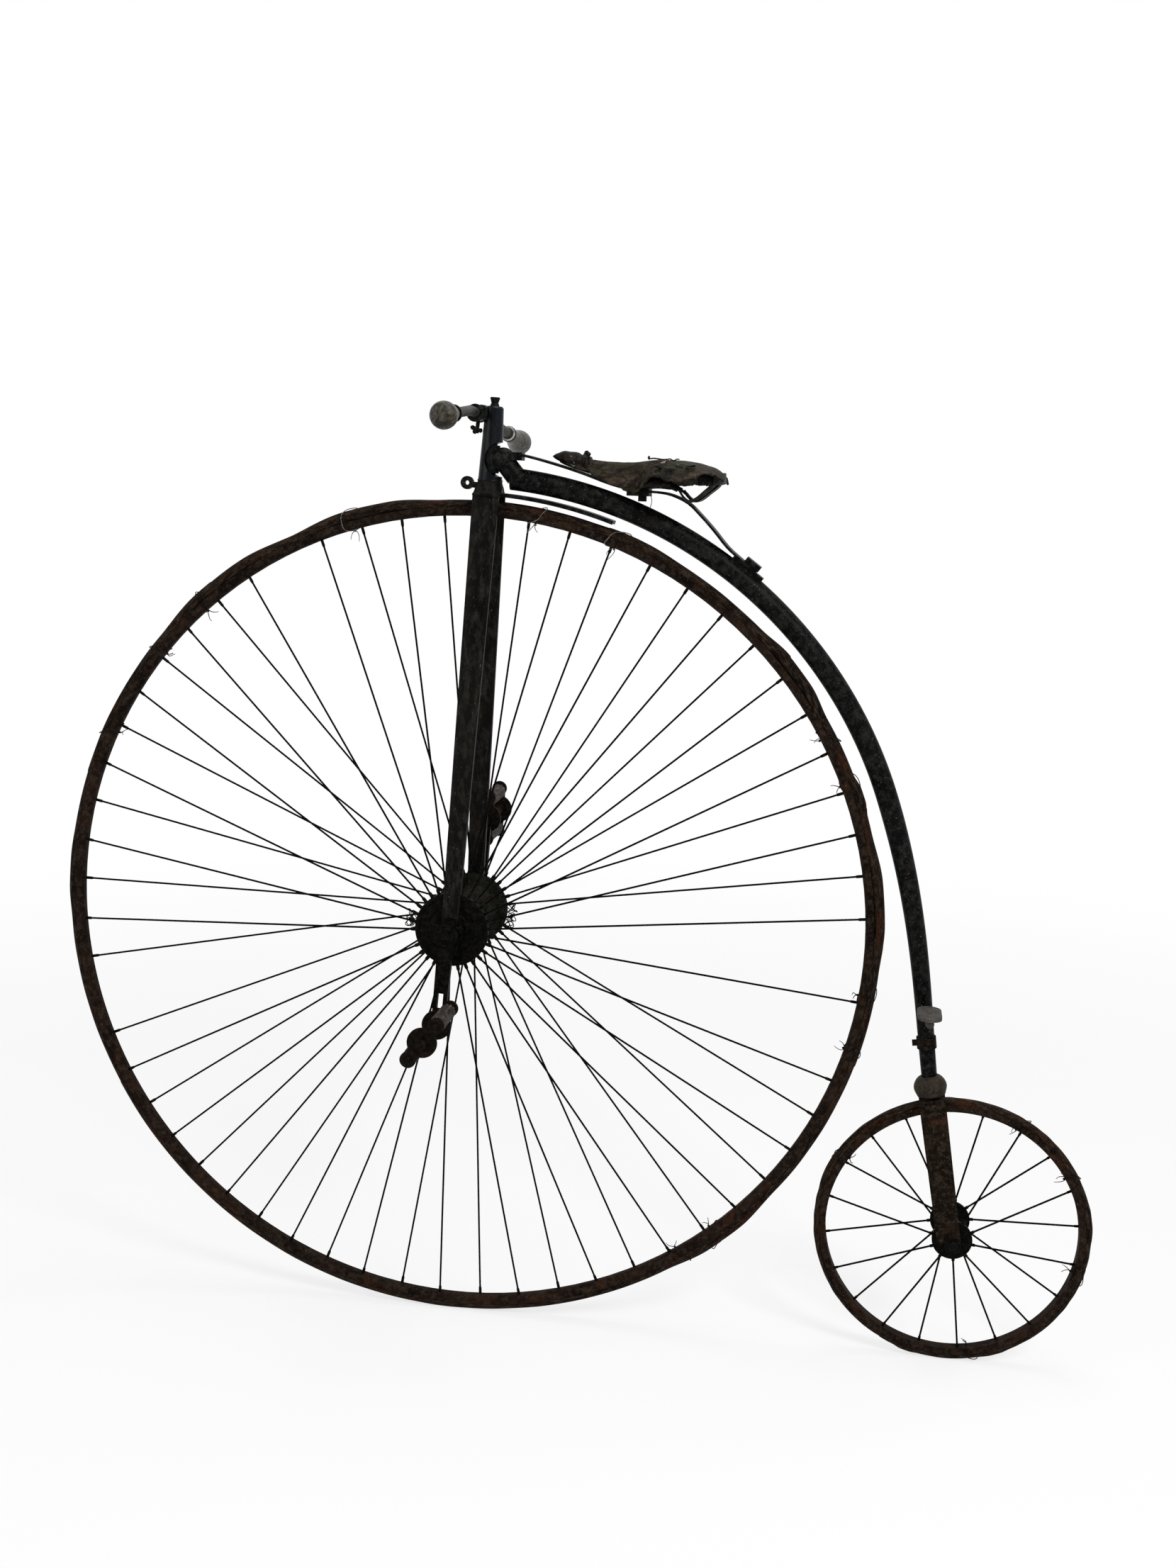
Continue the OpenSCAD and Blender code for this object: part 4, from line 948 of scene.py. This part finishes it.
# mounting step: metres, and the pitch of its hatching
stepTread = {"inset": 0.0008, "halfLong": 0.0352, "inFrom": 0.0362, "pitch": 620, "sunk": 0.0006,
             "tall": 0.0016, "deep": 0.0012}
stepLow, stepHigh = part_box("step")
a = turn * np.arange(120) / 120
rho = np.linspace(0, 1, 46)
halfX = (stepHigh.x - stepLow.x) / 2 - stepTread["inset"]
# a straight-sided plate with round ends: where a ray at each angle leaves its side or its end
endAt = stepTread["halfLong"] - halfX
acrossSide = halfX / np.maximum(np.abs(np.cos(a)), 1e-6)
toEnd = endAt * np.abs(np.sin(a))
acrossEnd = toEnd + np.sqrt(np.maximum(toEnd ** 2 - endAt ** 2 + halfX ** 2, 0))
outline = np.where(acrossSide * np.abs(np.sin(a)) <= endAt, acrossSide, acrossEnd)
px = rho[:, None] * outline * np.cos(a)
py = rho[:, None] * outline * np.sin(a)
lines = [np.abs(np.sin(slant * stepTread["pitch"])) for slant in (px + py, px - py)]
hatch = 0.35 + 0.65 * np.maximum(*lines) ** 3
rise = stepTread["tall"] * (1 - easeStep(0.9, 1.0, rho))[:, None] * hatch - stepTread["sunk"]
middle = np.array([(stepLow.x + stepHigh.x) / 2, stepLow.y + stepTread["inFrom"], stepHigh.z])
tread = np.stack([middle[0] + px, middle[1] + py, middle[2] + rise], -1)
under = tread[::-1] * np.array([1, 1, 0]) + np.array([0, 0, middle[2] - stepTread["deep"]])
addPiece("step_hatching", shell(np.concatenate([tread[1:], under[:-1]])), "stepIron", "frame")

axleDome = [(0, 6.5), (3.2, 6.2), (6.0, 5.0), (7.6, 3.0), (8.0, 0.6), (11.6, 0.2), (12.2, -0.8), (0, -0.8)]
nuts, nutsHalf = middleOf("rear_nuts")
domes = [turned(axleDome, (rearHub[0], nuts[1] + hand * nutsHalf[1], rearHub[2]), (0, hand, 0), 36)
         for hand in (-1, 1)]
addPiece("small_axle_ends", domes, "darkIron", "frame", sharp=True)
print("step and axle ends made")

# floor, backdrop and light: metres, watts, and for each lamp its place, size and power
studio = {
    "floor": 60.0, "floorGlow": 0.72, "fadeFrom": 1.2, "fadeTo": 4.2, "grey": 0.86, "world": 0.3,
    "aim": (0, 0, -0.6),
    "lamps": {"key": ((2.6, -3.4, 3.0), 1.6, 200.0), "fill": ((-3.6, -3.0, 0.8), 2.6, 60.0),
              "top": ((0.4, 0.3, 3.4), 2.0, 80.0)},
}


def seenRays(tree):
    # one for rays that come from the camera, a mirror or glass, and nought for the rest
    path = tree.nodes.new("ShaderNodeLightPath")
    total = path.outputs["Is Camera Ray"]
    for kind in ("Is Glossy Ray", "Is Transmission Ray"):
        add = tree.nodes.new("ShaderNodeMath")
        add.operation = "ADD"
        add.use_clamp = True
        tree.links.new(total, add.inputs[0])
        tree.links.new(path.outputs[kind], add.inputs[1])
        total = add.outputs[0]
    return total


floorMesh = bpy.data.meshes.new("floor")
f = studio["floor"] / 2
corners = [(x, y, floorLevel) for x, y in ((-f, -f), (f, -f), (f, f), (-f, f))]
floorMesh.from_pydata(corners, [], [(0, 1, 2, 3)])
floor = bpy.data.objects.new("floor", floorMesh)
bpy.context.scene.collection.objects.link(floor)
# near the machine the floor takes shadow; with distance it fades into the backdrop's white
look = Nodes("floorLook")
look.shader.inputs["Base Color"].default_value = (studio["grey"], studio["grey"], studio["grey"], 1)
look.shader.inputs["Roughness"].default_value = 0.9
look.shader.inputs["Specular IOR Level"].default_value = 0.1
glow = look.add("ShaderNodeEmission")
mixer = look.add("ShaderNodeMixShader")
coordinate = look.add("ShaderNodeTexCoord")
distance = look.add("ShaderNodeVectorMath", operation="LENGTH")
fade = look.add("ShaderNodeMapRange", interpolation_type="SMOOTHSTEP")
for key, number in (("From Min", studio["fadeFrom"]), ("From Max", studio["fadeTo"]),
                    ("To Min", studio["floorGlow"]), ("To Max", 1.0)):
    fade.inputs[key].default_value = number
share = look.add("ShaderNodeMath", operation="MULTIPLY")
look.link(coordinate.outputs["Object"], distance.inputs[0])
look.link(distance.outputs["Value"], fade.inputs["Value"])
look.link(fade.outputs["Result"], share.inputs[0])
look.link(seenRays(look.tree), share.inputs[1])
look.link(share.outputs[0], mixer.inputs[0])
look.link(look.shader.outputs[0], mixer.inputs[1])
look.link(glow.outputs[0], mixer.inputs[2])
look.link(mixer.outputs[0], look.tree.nodes["Material Output"].inputs["Surface"])
floorMesh.materials.append(look.material)

world = bpy.data.worlds.new("studio")
bpy.context.scene.world = world
world.use_nodes = True
tree = world.node_tree
background = tree.nodes["Background"]
background.inputs["Color"].default_value = (1, 1, 1, 1)
seen = tree.nodes.new("ShaderNodeMapRange")
seen.inputs["To Min"].default_value = studio["world"]
seen.inputs["To Max"].default_value = 1.0
tree.links.new(seenRays(tree), seen.inputs["Value"])
tree.links.new(seen.outputs["Result"], background.inputs["Strength"])

for name, (place, size, power) in studio["lamps"].items():
    # a square lamp, turned to face its aim
    lamp = bpy.data.lights.new(name, "AREA")
    lamp.size = size
    lamp.energy = power
    thing = bpy.data.objects.new(name, lamp)
    thing.location = place
    thing.rotation_euler = (Vector(studio["aim"]) - Vector(place)).to_track_quat("-Z", "Y").to_euler()
    bpy.context.scene.collection.objects.link(thing)
bpy.context.scene.view_settings.view_transform = "Standard"
print("studio made")
